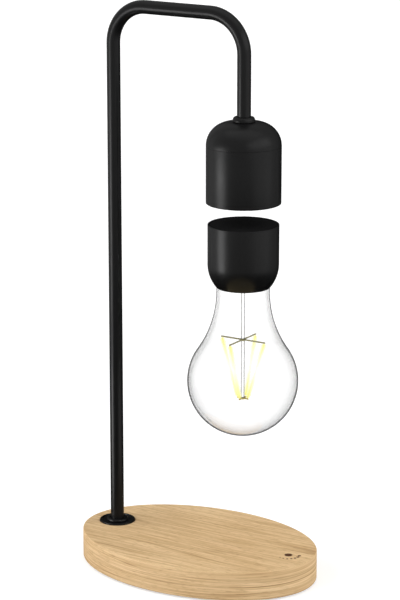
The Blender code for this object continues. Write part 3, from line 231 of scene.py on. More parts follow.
# Floating cap
CAP_STRAIGHT = 21.56 * MM
CAP_CURVE = 19.65 * MM
CAP_SWEEP = 0.702
CAP_WALL = 1.4 * MM
CAP_RIM = 0.55 * MM
CAP_EDGE = 0.16 * MM
LID_EDGE = 0.12 * MM

# Glass
GLASS_RADIUS = 30.0 * MM
GLASS_SHOULDER = 57.3 * MM
NECK_TO_CAP = 0.19 * MM
NECK_STRAIGHT = 2.35 * MM
NECK_STEP = 1.4 * MM
NECK_SEAT = 11.5 * MM
GLASS_WALL = 0.9 * MM
SEAT_WALL = 0.15 * MM
NECK_RADIUS = CAP_RADIUS - CAP_CURVE * (1 - math.cos(CAP_SWEEP)) - NECK_TO_CAP
NECK_INNER = NECK_RADIUS - NECK_STEP
NECK_SEAT_GAP = 0.05 * MM
NECK_SEAT_Z = CAP_RIM_Z - NECK_SEAT_GAP
NECK_TOP = CAP_RIM_Z - FIT + NECK_SEAT

# Stem, supports and light rods
ROD_RADIUS = 1.0 * MM
ROD_PAST_SUPPORT = 0.6 * MM
ROD_TIP_SHARE = 0.4
FLARE_RISE = 12.0 * MM
FLARE_CORE = 4.0 * MM
FLARE_WALL = 0.9 * MM
SUPPORT_WIRE = 0.42 * MM
SUPPORT_TO_ROD = 0.62 * MM
RING_WALL = 0.6 * MM
RING_HEIGHT = 0.7 * MM
RING_EDGE = 0.2 * MM
UPPER_ARM = 13.7 * MM
LOWER_ARM = 3.6 * MM
CORE_RADIUS = 0.60 * MM
SLEEVE_RADIUS = 1.3 * MM
SLEEVE_EDGE = 0.7 * MM
TAB_RADIUS = 0.4 * MM
TAB_LENGTH = 0.7 * MM
SLEEVE_START = 0.35 * MM
LIGHT_ROD_END = 0.5 * MM
LIGHT_RODS = 4

# Oak: its colours
OAK_PLAIN = (0.712, 0.496, 0.262)
OAK_LIGHT = (0.815, 0.600, 0.348)
OAK_STREAK = (0.495, 0.308, 0.140)
OAK_LATE = (0.340, 0.186, 0.070)
OAK_PORE = (0.330, 0.186, 0.074)
OAK_ROUGHNESS = (0.52, 0.64)
OAK_SPECULAR = 0.2
OAK_DEPTH = 0.05 * MM

# Oak: how fine each noise is along the grain, across it and up, then its detail and roughness
OAK_NOISES = {
    "cloud": ((6.0, 38.0, 100.0), 3.0, 0.55),
    "soft": ((9.0, 190.0, 560.0), 3.0, 0.6),
    "growth": ((4.0, 40.0, 230.0), 2.0, 0.4),
    "second": ((9.0, 120.0, 520.0), 2.0, 0.5),
    "broken": ((11.0, 90.0, 260.0), 2.0, 0.5),
    "fine": ((26.0, 620.0, 1300.0), 2.5, 0.6),
    "pore": ((230.0, 1000.0, 2000.0), 1.0, 0.5),
}

# Oak: two values of a noise, and the shares of its colour that they bring
OAK_SHARES = {
    "cloud": (0.25, 0.75, 0.0, 0.8),
    "soft": (0.42, 0.68, 0.0, 1.0),
    "broken": (0.40, 0.60, 0.10, 1.0),
    "fine": (0.38, 0.66, 0.0, 0.74),
    "pore": (0.56, 0.70, 0.0, 0.36),
}

# Oak: growth lines lie where their noise crosses a level; pairs of shares are for the top and the side
LINE_CORE = 0.003
LINE_BREADTH = 0.015
GROWTH_LEVEL = 0.50
SECOND_LEVEL = 0.52
SECOND_SHARE = 0.6
LINE_SHARES = (0.52, 0.80)
BAND_SHARES = (0.26, 0.40)
# Painted light: the slab's sides are made paler than its top by this share
SIDE_PAINTED_LIGHT_SHARE = 0.32
SIDE_STRETCH_SHARE = 0.04
FINE_HEIGHT_SHARE = 0.4
PORE_DEEPENS = (0.54, 0.68)
SIDE_TO_TOP = (0.3, 0.9)

# Other surfaces
NOISE_RANGE = (0.3, 0.7)
COAT_CLOUD = 120.0
COAT_SWING = 0.03
METAL_DARK_SHARE = 0.82
METAL_GLOSS = 0.06
METAL_MATT = 0.08
ENAMEL_DARK = (0.28, 0.09, 0.03)
ENAMEL_BRIGHT = (0.72, 0.30, 0.13)
ENAMEL_ROUGHNESS = (0.5, 0.25)
ENAMEL_DEPTH = 0.1 * MM
WIRE_TURNS = 620.0
BOARD_MASK = (0.018, 0.130, 0.055)
BOARD_LAND = (0.060, 0.270, 0.110)
LAND_SHARE = 0.5
LANDS = 260.0
LAND_EDGE = (0.28, 0.34)
BOARD_ROUGHNESS = (0.42, 0.30)
BOARD_DEPTH = 0.04 * MM
GLASS_RIPPLE = (30.0, 30.0, 18.0)
GLASS_ROUGHNESS = 0.012
# Painted shade: how much darker the bulb's outer skin is painted at its very edges
EDGE_PAINTED_SHADE = 0.92
GLOW_MIDDLE_SHARE = 0.52
GLOW_GRAIN = 2600.0
GLOW_SWING = 0.4 * MM
PHOSPHOR_UNLIT = (0.05, 0.045, 0.012, 1.0)

# Camera of the photograph, as fitted to it
CAMERA_PLACE = Vector((0.68312, -1.09445, 0.48915))
AZIMUTH = math.radians(31.989)
PITCH = math.radians(14.594)
CAMERA_LENS = 147.58
CAMERA_SHIFT_X = 0.0036
CAMERA_NEAR = 0.05
CAMERA_FAR = 20.0

# Floor and surroundings: what is seen is white, what falls on the lamp is less
FLOOR_HALF = 6.0
FLOOR_WHITE = 0.60
FLOOR_ROUGHNESS = 0.9
FLOOR_GLOW = 0.56
WORLD_FILL = 0.42
WHITE = (1.0, 1.0, 1.0, 1.0)

# Dark bowl behind the lamp
BOWL_RADIUS = 0.33
BOWL_HEIGHT = 0.17
BOWL_HALF_ANGLE = math.radians(80)
BOWL_DARK_ANGLE = math.radians(20)
BOWL_FALL = 1.6
BOWL_TURN = math.radians(14)
BOWL_DARK_BELOW = 0.03
BOWL_LIT_ABOVE = 0.10

# Dark card on the floor
CARD_RADIUS = 0.58
CARD_DARK_RADIUS = 0.38
CARD_AHEAD = 0.02
CARD_HEIGHT = 0.0004

# Warm glint under the cap
GLINT_COLOUR = (1.0, 0.80, 0.42, 1.0)
GLINT_RADIUS = 0.014
GLINT_LEFT = 8
GLINT_AHEAD = 0.023
GLINT_DROP = 0.0045
GLINT_STRENGTH = 1.2

# Suns: degrees to the left of the camera, degrees up, strength
SUN_ANGLE = math.radians(90)
SUNS = (("sun_left", 80, 14, 3.65), ("sun_right", -74, 14, 2.90))

# Panels: degrees to the left of the camera, height, height of what they face, breadth, length, radiance
PANEL_AWAY = 0.5
STRIP_HEIGHT = 0.22
PANELS = (
    ("strip_left", 74, STRIP_HEIGHT / 2, STRIP_HEIGHT / 2, 0.21, STRIP_HEIGHT, 12.3),
    ("panel_right", -60, STRIP_HEIGHT / 2, STRIP_HEIGHT / 2, 0.60, STRIP_HEIGHT, 0.95),
    ("panel_high", -58, 0.47, 0.28, 1.0, 0.34, 2.3),
)
TOP_PANEL_HEIGHT = 1.1
TOP_PANEL_SIDE = 1.2
TOP_PANEL_RADIANCE = 1.0

# Low strips for the foot of the tube: degrees to the left, breadth as a share of their distance, radiance
LOW_STRIP_HEIGHT = 0.085
LOW_STRIP_AWAY = 0.09
LOW_STRIP_SHARES = (("low_left", 74, 0.44, 11.5), ("low_right", -60, 1.2, 1.5))
LOW_STRIPS_REACH = ("bent_tube", "pole_ring", "pole_flange")


# Materials

def new_material(name):
    made = bpy.data.materials.new(name)
    made.use_nodes = True
    return made, made.node_tree


def put(tree, socket, value):
    """Link another node's output to the socket, or set it to a number or colour."""
    if isinstance(value, bpy.types.NodeSocket):
        tree.links.new(value, socket)
    else:
        socket.default_value = value


def set_inputs(tree, values, shader="Principled BSDF"):
    """Set or link the shader's inputs by name."""
    for name, value in values.items():
        put(tree, tree.nodes[shader].inputs[name], value)


def add(tree, kind, **values):
    """A shader node with its inputs or settings set by name."""
    made = tree.nodes.new("ShaderNode" + kind)
    for key, value in values.items():
        if key in made.inputs:
            put(tree, made.inputs[key], value)
        else:
            setattr(made, key, value)
    return made


def own_place(tree):
    """The point's place on its own object."""
    return add(tree, "TexCoord").outputs["Object"]


def own_normal(tree):
    return add(tree, "TexCoord").outputs["Normal"]


def parts_of(tree, vector):
    """The X, Y and Z of a vector, by name."""
    return add(tree, "SeparateXYZ", Vector=vector).outputs


def noise_at(tree, place, detail=2.0, roughness=0.5):
    made = add(tree, "TexNoise", Vector=place, Scale=1.0, Detail=detail, Roughness=roughness)
    return made.outputs["Fac"]


def noise(tree, scale, detail=2.0):
    """A noise over the object's own place, as fine as one number says or as three do for its axes."""
    stretch = add(tree, "VectorMath", operation="MULTIPLY", Vector=own_place(tree))
    stretch.inputs[1].default_value = scale if isinstance(scale, tuple) else (scale, scale, scale)
    return noise_at(tree, stretch.outputs[0], detail)


def remap(tree, value, low, high, to_low=0.0, to_high=1.0):
    made = add(tree, "MapRange", Value=value)
    for slot, number in zip(("From Min", "From Max", "To Min", "To Max"), (low, high, to_low, to_high)):
        made.inputs[slot].default_value = number
    return made.outputs["Result"]


def combine(tree, operation, one, other=0.0):
    """Two values, or a value and a number, through one sum."""
    made = add(tree, "Math", operation=operation)
    put(tree, made.inputs[0], one)
    put(tree, made.inputs[1], other)
    return made.outputs[0]


def times(tree, one, other):
    return combine(tree, "MULTIPLY", one, other)


def blend(tree, share, one, other):
    """From one colour to the other by the share; a colour is a tuple or another node's output."""
    made = add(tree, "Mix", data_type="RGBA", Factor=share)
    for socket, colour in ((made.inputs[6], one), (made.inputs[7], other)):
        put(tree, socket, (*colour, 1.0) if isinstance(colour, tuple) else colour)
    return made.outputs[2]


def bump(tree, height, distance, strength):
    """The normals of a surface that rises and falls with the height."""
    made = add(tree, "Bump", Height=height, Distance=distance, Strength=strength)
    return made.outputs["Normal"]


def grain_place(tree, scale, side):
    """The point's place, stretched along the grain; on the slab's side the lines run on round the edge."""
    place = parts_of(tree, own_place(tree))
    across = remap(tree, side, 0.0, 1.0, scale[1], scale[1] * SIDE_STRETCH_SHARE)
    factors = {"X": scale[0], "Y": across, "Z": scale[2]}
    stretched = {axis: times(tree, place[axis], factor) for axis, factor in factors.items()}
    return add(tree, "CombineXYZ", **stretched).outputs[0]


def thin_lines(tree, value, level):
    """1 along the thin lines where the value crosses the level, 0 elsewhere."""
    off = combine(tree, "ABSOLUTE", combine(tree, "SUBTRACT", value, level))
    return remap(tree, off, LINE_CORE, LINE_BREADTH, 1.0, 0.0)


def oak():
    """Pale oiled oak: soft bands, thin dark growth lines, fine streaks and pores, all along the base; its
    sides are painted paler than its top, as painted light.
    """
    made, tree = new_material("oiled_oak")
    upright = combine(tree, "ABSOLUTE", parts_of(tree, own_normal(tree))["Z"])
    side = remap(tree, upright, *SIDE_TO_TOP, 1.0, 0.0)
    noises = {}
    for name, (scale, detail, roughness) in OAK_NOISES.items():
        noises[name] = noise_at(tree, grain_place(tree, scale, side), detail, roughness)
    shares = {name: remap(tree, noises[name], *values) for name, values in OAK_SHARES.items()}
    first = thin_lines(tree, noises["growth"], GROWTH_LEVEL)
    second = times(tree, thin_lines(tree, noises["second"], SECOND_LEVEL), SECOND_SHARE)
    line_share = times(tree, combine(tree, "MAXIMUM", first, second), shares["broken"])
    line_share = times(tree, line_share, remap(tree, side, 0.0, 1.0, *LINE_SHARES))
    band_share = times(tree, shares["soft"], remap(tree, side, 0.0, 1.0, *BAND_SHARES))
    # Random paler clouds in the wood, plus painted light that makes the sides paler than the top
    tone_and_painted_light = combine(tree, "ADD", shares["cloud"], times(tree, side, SIDE_PAINTED_LIGHT_SHARE))
    tone = blend(tree, tone_and_painted_light, OAK_PLAIN, OAK_LIGHT)
    tone = blend(tree, band_share, tone, OAK_STREAK)
    tone = blend(tree, shares["fine"], tone, OAK_STREAK)
    tone = blend(tree, line_share, tone, OAK_LATE)
    tone = blend(tree, shares["pore"], tone, OAK_PORE)
    grooves = remap(tree, noises["pore"], *PORE_DEEPENS)
    height = combine(tree, "SUBTRACT", times(tree, noises["fine"], FINE_HEIGHT_SHARE), grooves)
    set_inputs(tree, {
        "Base Color": tone,
        "Roughness": remap(tree, noises["fine"], *NOISE_RANGE, *OAK_ROUGHNESS),
        "Specular IOR Level": OAK_SPECULAR,
        "Normal": bump(tree, height, OAK_DEPTH, strength=0.5),
    })
    return made


def fine_coat(name, colour, roughness, level, grain, depth, mottle_share=0.12):
    """A paint, plastic or rubber whose colour and gloss vary a little, over a fine grained surface."""
    made, tree = new_material(name)
    cloud = noise(tree, COAT_CLOUD)
    dark, light = (tuple(part * (1 + sign * mottle_share) for part in colour) for sign in (-1, 1))
    set_inputs(tree, {
        "Base Color": blend(tree, cloud, dark, light),
        "Roughness": remap(tree, cloud, *NOISE_RANGE, roughness - COAT_SWING, roughness + COAT_SWING),
        "Specular IOR Level": level,
        "Normal": bump(tree, noise(tree, grain), depth, strength=0.6),
    })
    return made


def metal(name, colour, roughness, stretch, depth):
    """Bare metal with fine tool marks along the stretched directions."""
    made, tree = new_material(name)
    marks = noise(tree, stretch, detail=3.0)
    dark = tuple(part * METAL_DARK_SHARE for part in colour)
    set_inputs(tree, {
        "Base Color": blend(tree, marks, dark, colour),
        "Roughness": remap(tree, marks, *NOISE_RANGE, roughness - METAL_GLOSS, roughness + METAL_MATT),
        "Metallic": 1.0,
        "Normal": bump(tree, marks, depth, strength=0.5),
    })
    return made


def wound_copper():
    """Enamelled wire, laid turn by turn."""
    made, tree = new_material("wound_copper")
    place = own_place(tree)
    turns = add(tree, "TexWave", Vector=place, bands_direction="Z", Scale=WIRE_TURNS, Distortion=0.6)
    band = turns.outputs["Fac"]
    set_inputs(tree, {
        "Base Color": blend(tree, band, ENAMEL_DARK, ENAMEL_BRIGHT),
        "Roughness": remap(tree, band, 0.0, 1.0, *ENAMEL_ROUGHNESS),
        "Metallic": 1.0,
        "Normal": bump(tree, band, ENAMEL_DEPTH, strength=0.8),
    })
    return made


def circuit_board():
    """Green solder mask over a faint weave, with paler copper lands below it."""
    made, tree = new_material("circuit_board")
    cells = add(tree, "TexVoronoi", distance="CHEBYCHEV", Vector=own_place(tree), Scale=LANDS)
    land = remap(tree, cells.outputs["Distance"], *LAND_EDGE, 1.0, 0.0)
    set_inputs(tree, {
        "Base Color": blend(tree, times(tree, land, LAND_SHARE), BOARD_MASK, BOARD_LAND),
        "Roughness": remap(tree, land, 0.0, 1.0, *BOARD_ROUGHNESS),
        "Normal": bump(tree, land, BOARD_DEPTH, strength=0.6),
    })
    return made


def outer_skin(tree):
    """1 on the bulb's outer skin, whose normals point away from its axis, and 0 on its inner one."""
    from_axis = add(tree, "VectorMath", operation="MULTIPLY_ADD", Vector=own_place(tree))
    from_axis.inputs[1].default_value = (1.0, 1.0, 0.0)
    from_axis.inputs[2].default_value = (-HEAD_X, 0.0, 0.0)
    outward = add(tree, "VectorMath", operation="DOT_PRODUCT", Vector=from_axis.outputs[0])
    put(tree, outward.inputs[1], own_normal(tree))
    return combine(tree, "GREATER_THAN", outward.outputs["Value"])


def clear_glass(name, ior, fading, least_share, painted_edge_shade=None):
    """Blown glass, all but flawless, with painted shade towards its edges. Over the fading range, from face
    on (0) to edge on (1), its colour is painted darker down to the least share. Over the painted edge shade
    range its outer skin is painted darker still, as a dark outline."""
    made, tree = new_material(name)
    facing = add(tree, "LayerWeight", Blend=0.5).outputs["Facing"]
    # Painted shade: the colour darkens towards the edges, then darker still on the outer skin near them
    left = remap(tree, facing, *fading, 1.0, least_share)
    if painted_edge_shade:
        painted_shade = times(tree, remap(tree, facing, *painted_edge_shade, 0.0, EDGE_PAINTED_SHADE), outer_skin(tree))
        left = times(tree, left, combine(tree, "SUBTRACT", 1.0, painted_shade))
    grey = add(tree, "CombineColor", Red=left, Green=left, Blue=left)
    wave = noise(tree, GLASS_RIPPLE, detail=1.0)
    set_inputs(tree, {
        "Base Color": grey.outputs[0],
        "Roughness": remap(tree, wave, *NOISE_RANGE, 0.0, GLASS_ROUGHNESS),
        "IOR": ior,
        "Transmission Weight": 1.0,
    })
    return made


def glow(name, end_colour, middle_colour, alpha, roughness):
    """Phosphor or its clear sleeve, alight: yellow near both ends and all but white in the middle."""
    made, tree = new_material(name)
    reach = (UPPER_Z - LOWER_Z) * GLOW_MIDDLE_SHARE
    height = parts_of(tree, own_place(tree))["Z"]
    away = combine(tree, "ABSOLUTE", combine(tree, "SUBTRACT", height, LOWER_Z + reach))
    swing = remap(tree, noise(tree, GLOW_GRAIN, detail=1.0), *NOISE_RANGE, -GLOW_SWING, GLOW_SWING)
    end_share = remap(tree, combine(tree, "ADD", away, swing), 0.0, reach)
    set_inputs(tree, {
        "Base Color": PHOSPHOR_UNLIT,
        "Roughness": roughness,
        "Alpha": alpha,
        "Emission Color": blend(tree, end_share, middle_colour, end_colour),
        "Emission Strength": 1.0,
    })
    return made


# Coats: colour, roughness, specular level, fineness and depth of the grain, and how far the colour varies
BLACK_SHELL = fine_coat("satin_black_shell", (0.0045, 0.0045, 0.0046), 0.34, 0.11, 5200.0, 0.02 * MM)
BLACK_TUBE = fine_coat("satin_black_tube", (0.0045, 0.0045, 0.0046), 0.32, 0.11, 4200.0, 0.02 * MM)
BLACK_LID = fine_coat("matt_black_lid", (0.0120, 0.0120, 0.0122), 0.60, 0.0, 3800.0, 0.02 * MM)
BLACK_PLASTIC = fine_coat("black_plastic", (0.012, 0.012, 0.013), 0.45, 0.3, 3000.0, 0.03 * MM)
PLATE_COAT = fine_coat("powder_coat", (0.020, 0.020, 0.021), 0.55, 0.35, 2200.0, 0.05 * MM)
RUBBER = fine_coat("soft_rubber", (0.022, 0.022, 0.022), 0.82, 0.2, 2600.0, 0.06 * MM)
CABLE = fine_coat("cable_jacket", (0.022, 0.022, 0.023), 0.60, 0.3, 1800.0, 0.04 * MM)
CLEAR_PLASTIC = fine_coat("natural_nylon", (0.66, 0.65, 0.60), 0.42, 0.4, 1500.0, 0.04 * MM, 0.05)
# The upper and lower wires are one metal in two colours: the lower one is painted paler, as painted light
# from the glowing rods
UPPER_WIRE = fine_coat("dull_support_wire", (0.270, 0.240, 0.085), 0.50, 0.3, 2500.0, 0.01 * MM)
LOWER_WIRE = fine_coat("pale_support_wire", (0.520, 0.420, 0.130), 0.50, 0.3, 2500.0, 0.01 * MM)
BURNT_OAK = fine_coat("burnt_oak", (0.085, 0.036, 0.018), 0.70, 0.1, 2400.0, 0.03 * MM, 0.25)

# Bare metals: colour, roughness, stretch and depth of the tool marks
ZINC = metal("zinc_plate", (0.58, 0.59, 0.62), 0.34, (900.0, 900.0, 5200.0), 0.01 * MM)
NICKEL = metal("nickel_plate", (0.66, 0.63, 0.58), 0.22, (500.0, 500.0, 4200.0), 0.006 * MM)
IRON = metal("soft_iron", (0.22, 0.22, 0.23), 0.50, (700.0, 700.0, 700.0), 0.03 * MM)

# The other finishes
OAK = oak()
COPPER = wound_copper()
BOARD = circuit_board()
# Both glasses carry painted shade towards their edges: grey on the bulb, black at the sides of the stem
GLASS = clear_glass("blown_glass", ior=1.33, fading=(0.26, 1.0), least_share=0.47, painted_edge_shade=(0.735, 0.79))
STEM_GLASS = clear_glass("stem_glass", ior=1.30, fading=(0.06, 0.42), least_share=0.0)
GLOW = glow("glowing_phosphor", (0.90, 0.84, 0.13), (0.99, 0.99, 0.86), alpha=1.0, roughness=0.6)
GLOW_SLEEVE = glow("lit_clear_sleeve", (0.96, 0.92, 0.24), (1.0, 1.0, 0.93), alpha=0.38, roughness=0.4)


# Meshes

def rounded(corners, steps):
    """A closed outline of (across, up) corners. One with a third number is rounded to that radius."""
    outline = []
    for index, corner in enumerate(corners):
        here = Vector(corner[:2])
        radius = sum(corner[2:])
        if not radius:
            outline.append(corner[:2])
            continue
        back = (Vector(corners[index - 1][:2]) - here).normalized()
        ahead = (Vector(corners[(index + 1) % len(corners)][:2]) - here).normalized()
        half = back.angle(ahead) / 2
        centre = here + (back + ahead).normalized() * (radius / math.sin(half))
        start = here + back * (radius / math.tan(half)) - centre
        sweep = math.copysign(math.pi - 2 * half, start.cross(here - centre))
        for step in range(steps + 1):
            outline.append(tuple(centre + Matrix.Rotation(sweep * step / steps, 2) @ start))
    return outline


def plug(radius, low, high, low_edge=0.0, high_edge=0.0):
    """Corners of a disc or a rod, with its two edges rounded."""
    return [(0, low), (radius, low, low_edge), (radius, high, high_edge), (0, high)]


def arc(centre_r, centre_z, radius, start, end, steps=ARC_STEPS):
    """Points of an arc as (across, up), both ends included."""
    turns = [start + (end - start) * step / steps for step in range(steps + 1)]
    return [(centre_r + radius * math.cos(turn), centre_z + radius * math.sin(turn)) for turn in turns]


def full_turn(sides, phase=0.0):
    """The angles of so many points round an axis."""
    return [phase + 2 * math.pi * side / sides for side in range(sides)]


def oval(length, width, x=0.0, y=0.0, sides=SMALL_SIDES, phase=0.0):
    turns = full_turn(sides, phase)
    return [(x + length / 2 * math.cos(turn), y + width / 2 * math.sin(turn)) for turn in turns]


def circle(radius, x=0.0, y=0.0, sides=SMALL_SIDES):
    return oval(2 * radius, 2 * radius, x, y, sides)


def rectangle(length, width, x=0.0, y=0.0):
    signs = ((-1, -1), (1, -1), (1, 1), (-1, 1))
    return [(x + across * length / 2, y + along * width / 2) for across, along in signs]


def ring(bm, outline, height=0.0):
    return [bm.verts.new((x, y, height)) for x, y in outline]


def join_rings(bm, rings):
    """Faces from each ring to the next, all with as many points."""
    for near, far in zip(rings, rings[1:]):
        for side in range(len(near)):
            following = (side + 1) % len(near)
            bm.faces.new((near[side], near[following], far[following], far[side]))


def prism(bm, outline, low, high):
    """The (x, y) outline stood up from low to high."""
    ends = [ring(bm, outline, low), ring(bm, outline, high)]
    for end in ends:
        bm.faces.new(end)
    join_rings(bm, ends)
    return bm


def lathe(bm, corners, sides, x=0.0, y=0.0, steps=EDGE_STEPS):
    """The outline of corners spun about an upright axis at (x, y), closed on itself off the axis."""
    profile = rounded(corners, steps)
    rings = []
    for radius, height in profile:
        outline = circle(radius, x, y, sides) if radius >= WELD else [(x, y)]
        rings.append(ring(bm, outline, height))
    pairs = list(zip(rings, rings[1:]))
    if profile[0][0] >= WELD or profile[-1][0] >= WELD:
        pairs.append((rings[-1], rings[0]))
    for near, far in pairs:
        for side in range(sides):
            following = (side + 1) % sides
            points = [near[side % len(near)], near[following % len(near)]]
            points += [far[following % len(far)], far[side % len(far)]]
            kept = list(dict.fromkeys(points))
            if len(kept) > 2:
                bm.faces.new(kept)
    return bm


def bar(bm, path, radius, sides, hollow=0.0, side_axis=(0, 1, 0)):
    """A round bar, or with a bore a tube, along a flat or straight path with closed ends."""
    side_axis = Vector(side_axis)
    ends = []
    for skin in [radius, hollow] if hollow else [radius]:
        rings = []
        for index, point in enumerate(path):
            back = (point - path[max(index - 1, 0)]).normalized()
            ahead = (path[min(index + 1, len(path) - 1)] - point).normalized()
            heading = (back + ahead).normalized()
            normal = side_axis.cross(heading).normalized()
            across = heading.cross(normal)
            spokes = [normal * math.cos(turn) + across * math.sin(turn) for turn in full_turn(sides)]
            rings.append([bm.verts.new(point + spoke * skin) for spoke in spokes])
        join_rings(bm, rings)
        ends.append((rings[0], rings[-1]))
    if hollow:
        for rims in zip(*ends):
            join_rings(bm, rims)
    else:
        for rim in ends[0]:
            bm.faces.new(rim)
    return bm


def filleted(corners, radius, steps=ARC_STEPS):
    """A path through the corners, each inner one rounded to the radius."""
    path = [Vector(corners[0])]
    for before, corner, after in zip(corners, corners[1:], corners[2:]):
        corner = Vector(corner)
        back = (Vector(before) - corner).normalized()
        ahead = (Vector(after) - corner).normalized()
        half = back.angle(ahead) / 2
        centre = corner + (back + ahead).normalized() * (radius / math.sin(half))
        start = corner + back * (radius / math.tan(half))
        axis = back.cross(ahead).normalized()
        for step in range(steps + 1):
            turn = Matrix.Rotation(-(math.pi - 2 * half) * step / steps, 3, axis)
            path.append(centre + turn @ (start - centre))
    path.append(Vector(corners[-1]))
    return path


def smooth(mesh):
    mesh.shade_smooth()
    mesh.set_sharp_from_angle(angle=SMOOTH_ANGLE)


def new_object(name, data):
    made = bpy.data.objects.new(name, data)
    bpy.context.scene.collection.objects.link(made)
    return made


def mesh_object(name, bm, material):
    bmesh.ops.remove_doubles(bm, verts=bm.verts, dist=WELD)
    bmesh.ops.recalc_face_normals(bm, faces=bm.faces)
    mesh = bpy.data.meshes.new(name)
    bm.to_mesh(mesh)
    bm.free()
    smooth(mesh)
    mesh.materials.append(material)
    return new_object(name, mesh)


def piece(name, bm, material, slot, body, *nodes):
    """A finished piece that rides on a body and stands for CAD nodes."""
    made = mesh_object(name, bm, material)
    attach(made, body)
    if nodes:
        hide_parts(*nodes)
    return made


def turned(name, corners, material, slot, body, *nodes, x=HEAD_X, sides=ROUND_SIDES, place=None, **lathing):
    """A piece that is spun from its corners and then, if it leans or lies, put in its place."""
    bm = lathe(bmesh.new(), corners, sides, x, **lathing)
    if place:
        bm.transform(place)
    piece(name, bm, material, slot, body, *nodes)


def carved(target, cutters):
    """The target's mesh with the cutters taken away, for good, and slivers cleared."""
    for cutter in cutters:
        modifier = target.modifiers.new("cut", "BOOLEAN")
        modifier.operation = "DIFFERENCE"
        modifier.solver = "EXACT"
        modifier.object = cutter
    bpy.context.view_layer.update()
    seen = target.evaluated_get(bpy.context.evaluated_depsgraph_get())
    mesh = bpy.data.meshes.new_from_object(seen)
    bm = bmesh.new()
    bm.from_mesh(mesh)
    bmesh.ops.remove_doubles(bm, verts=bm.verts, dist=SLIVER)
    bmesh.ops.dissolve_degenerate(bm, edges=bm.edges, dist=SLIVER)
    bm.to_mesh(mesh)
    bm.free()
    target.modifiers.clear()
    target.data = mesh
    smooth(mesh)
    for cutter in cutters:
        bpy.data.objects.remove(cutter, do_unlink=True)
    return target


# Base

def base_cutters():
    """Everything that is hollowed out of the wood: seat, bay, ducts, bores and pilot holes."""
    touch = middle("touch_pad")
    bay_floor = BASE_BOTTOM + PLATE_SEAT + FIT
    low = bay_floor - OVERRUN
    ceiling = high_z("control_board") + BAY_HEADROOM
    nut_ceiling = high_z("pole_washer") + FIT
    bay_start = POLE_X + BAY_FROM_POLE
    bay_end = touch.x - BAY_FROM_TOUCH
    bay_x = (bay_start + bay_end) / 2
    bay_width = 2 * (BASE_HALF.y - BAY_SIDE_WALL)
    touch_from = bay_end - TOUCH_BORE_RADIUS
    duct_to = bay_start + DUCT_WIDTH
    plate = 2 * (BASE_HALF - Vector((PLATE_INSET, PLATE_INSET)))
    bay = oval(bay_end - bay_start, bay_width, bay_x, sides=BROAD_SIDES, phase=math.pi / BROAD_SIDES)
    touch_duct = rectangle(touch.x - touch_from, TOUCH_DUCT_WIDTH, (touch.x + touch_from) / 2, touch.y)
    cable_duct = rectangle(duct_to - POLE_X, DUCT_WIDTH, (duct_to + POLE_X) / 2)
    flange_seat = circle(half_width("base_flange") + FIT, POLE_X, sides=ROUND_SIDES)
    shapes = [
        (oval(plate.x, plate.y, sides=OVAL_SIDES), low_z("bottom_plate") - OVERRUN, bay_floor),
        (bay, low, ceiling),
        (circle(TOUCH_BORE_RADIUS, touch.x, touch.y), low, BASE_TOP - TOUCH_SKIN),
        (touch_duct, low, ceiling - TOUCH_DUCT_DROP),
        (circle(NUT_BAY_RADIUS, POLE_X), low, nut_ceiling),
        (cable_duct, low, nut_ceiling - DUCT_DROP),
        (circle(TUBE_HOLE, POLE_X), nut_ceiling - OVERRUN, BASE_TOP + OVERRUN),
        (flange_seat, BASE_TOP - FLANGE_SUNK - FIT, BASE_TOP + OVERRUN),
    ]
    cutters = [prism(bmesh.new(), *shape) for shape in shapes]
    pilots = bmesh.new()
    for name in four("plate_screw"):
        screw = middle(name)
        prism(pilots, circle(PILOT_RADIUS, screw.x, screw.y, PILOT_SIDES), low, high_z(name) + FIT)
    cutters.append(pilots)
    return [mesh_object(f"cut_{number}", bm, OAK) for number, bm in enumerate(cutters)]


def wood_base():
    """The oval slab: its upper edge is softened, its lower edge eased a little more."""
    section = [(2 * PLATE_INSET, BASE_BOTTOM)]
    section += arc(BASE_EDGE, BASE_BOTTOM + BASE_EDGE, BASE_EDGE, -math.pi / 2, -math.pi, FINE_EDGE_STEPS)
    section += arc(TOP_EDGE, BASE_TOP - TOP_EDGE, TOP_EDGE, math.pi, math.pi / 2, TOP_EDGE_STEPS)
    section.append((TOP_EDGE + EDGE_BORDER, BASE_TOP))
    bm = bmesh.new()
    rings = []
    for inset, height in section:
        size = 2 * (BASE_HALF - Vector((inset, inset)))
        rings.append(ring(bm, oval(size.x, size.y, sides=OVAL_SIDES), height))
    join_rings(bm, rings)
    bm.faces.new(rings[0])
    bm.faces.new(rings[-1])
    made = piece("oak_base", bm, OAK, "oak", "stand", "base_body")
    return carved(made, base_cutters() + [inlet_cutter()])


def inlet_place():
    """The inlet's axis: its +Z is the base's +Y, and it starts on the base's back edge."""
    pin = middle("inlet_pin")
    edge = BASE_HALF.y * math.sqrt(1 - (pin.x / BASE_HALF.x) ** 2)
    return Matrix.Translation((pin.x, edge, pin.z)) @ Matrix.Rotation(-math.pi / 2, 4, "X")


def inlet_depth():
    """How far the housing reaches into the wood."""
    return inlet_place().translation.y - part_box("inlet_housing")[0].y


def inlet_cutter():
    depth = inlet_depth()
    room = INLET_THICK + INLET_SUNK + FIT
    wide = INLET_RADIUS + FIT
    narrow = BARREL_RADIUS + FIT
    corners = [(0, OVERRUN), (wide, OVERRUN), (wide, -room), (narrow, -room), (narrow, -depth), (0, -depth)]
    bm = lathe(bmesh.new(), corners, TUBE_SIDES)
    bm.transform(inlet_place())
    return mesh_object("cut_inlet", bm, OAK)


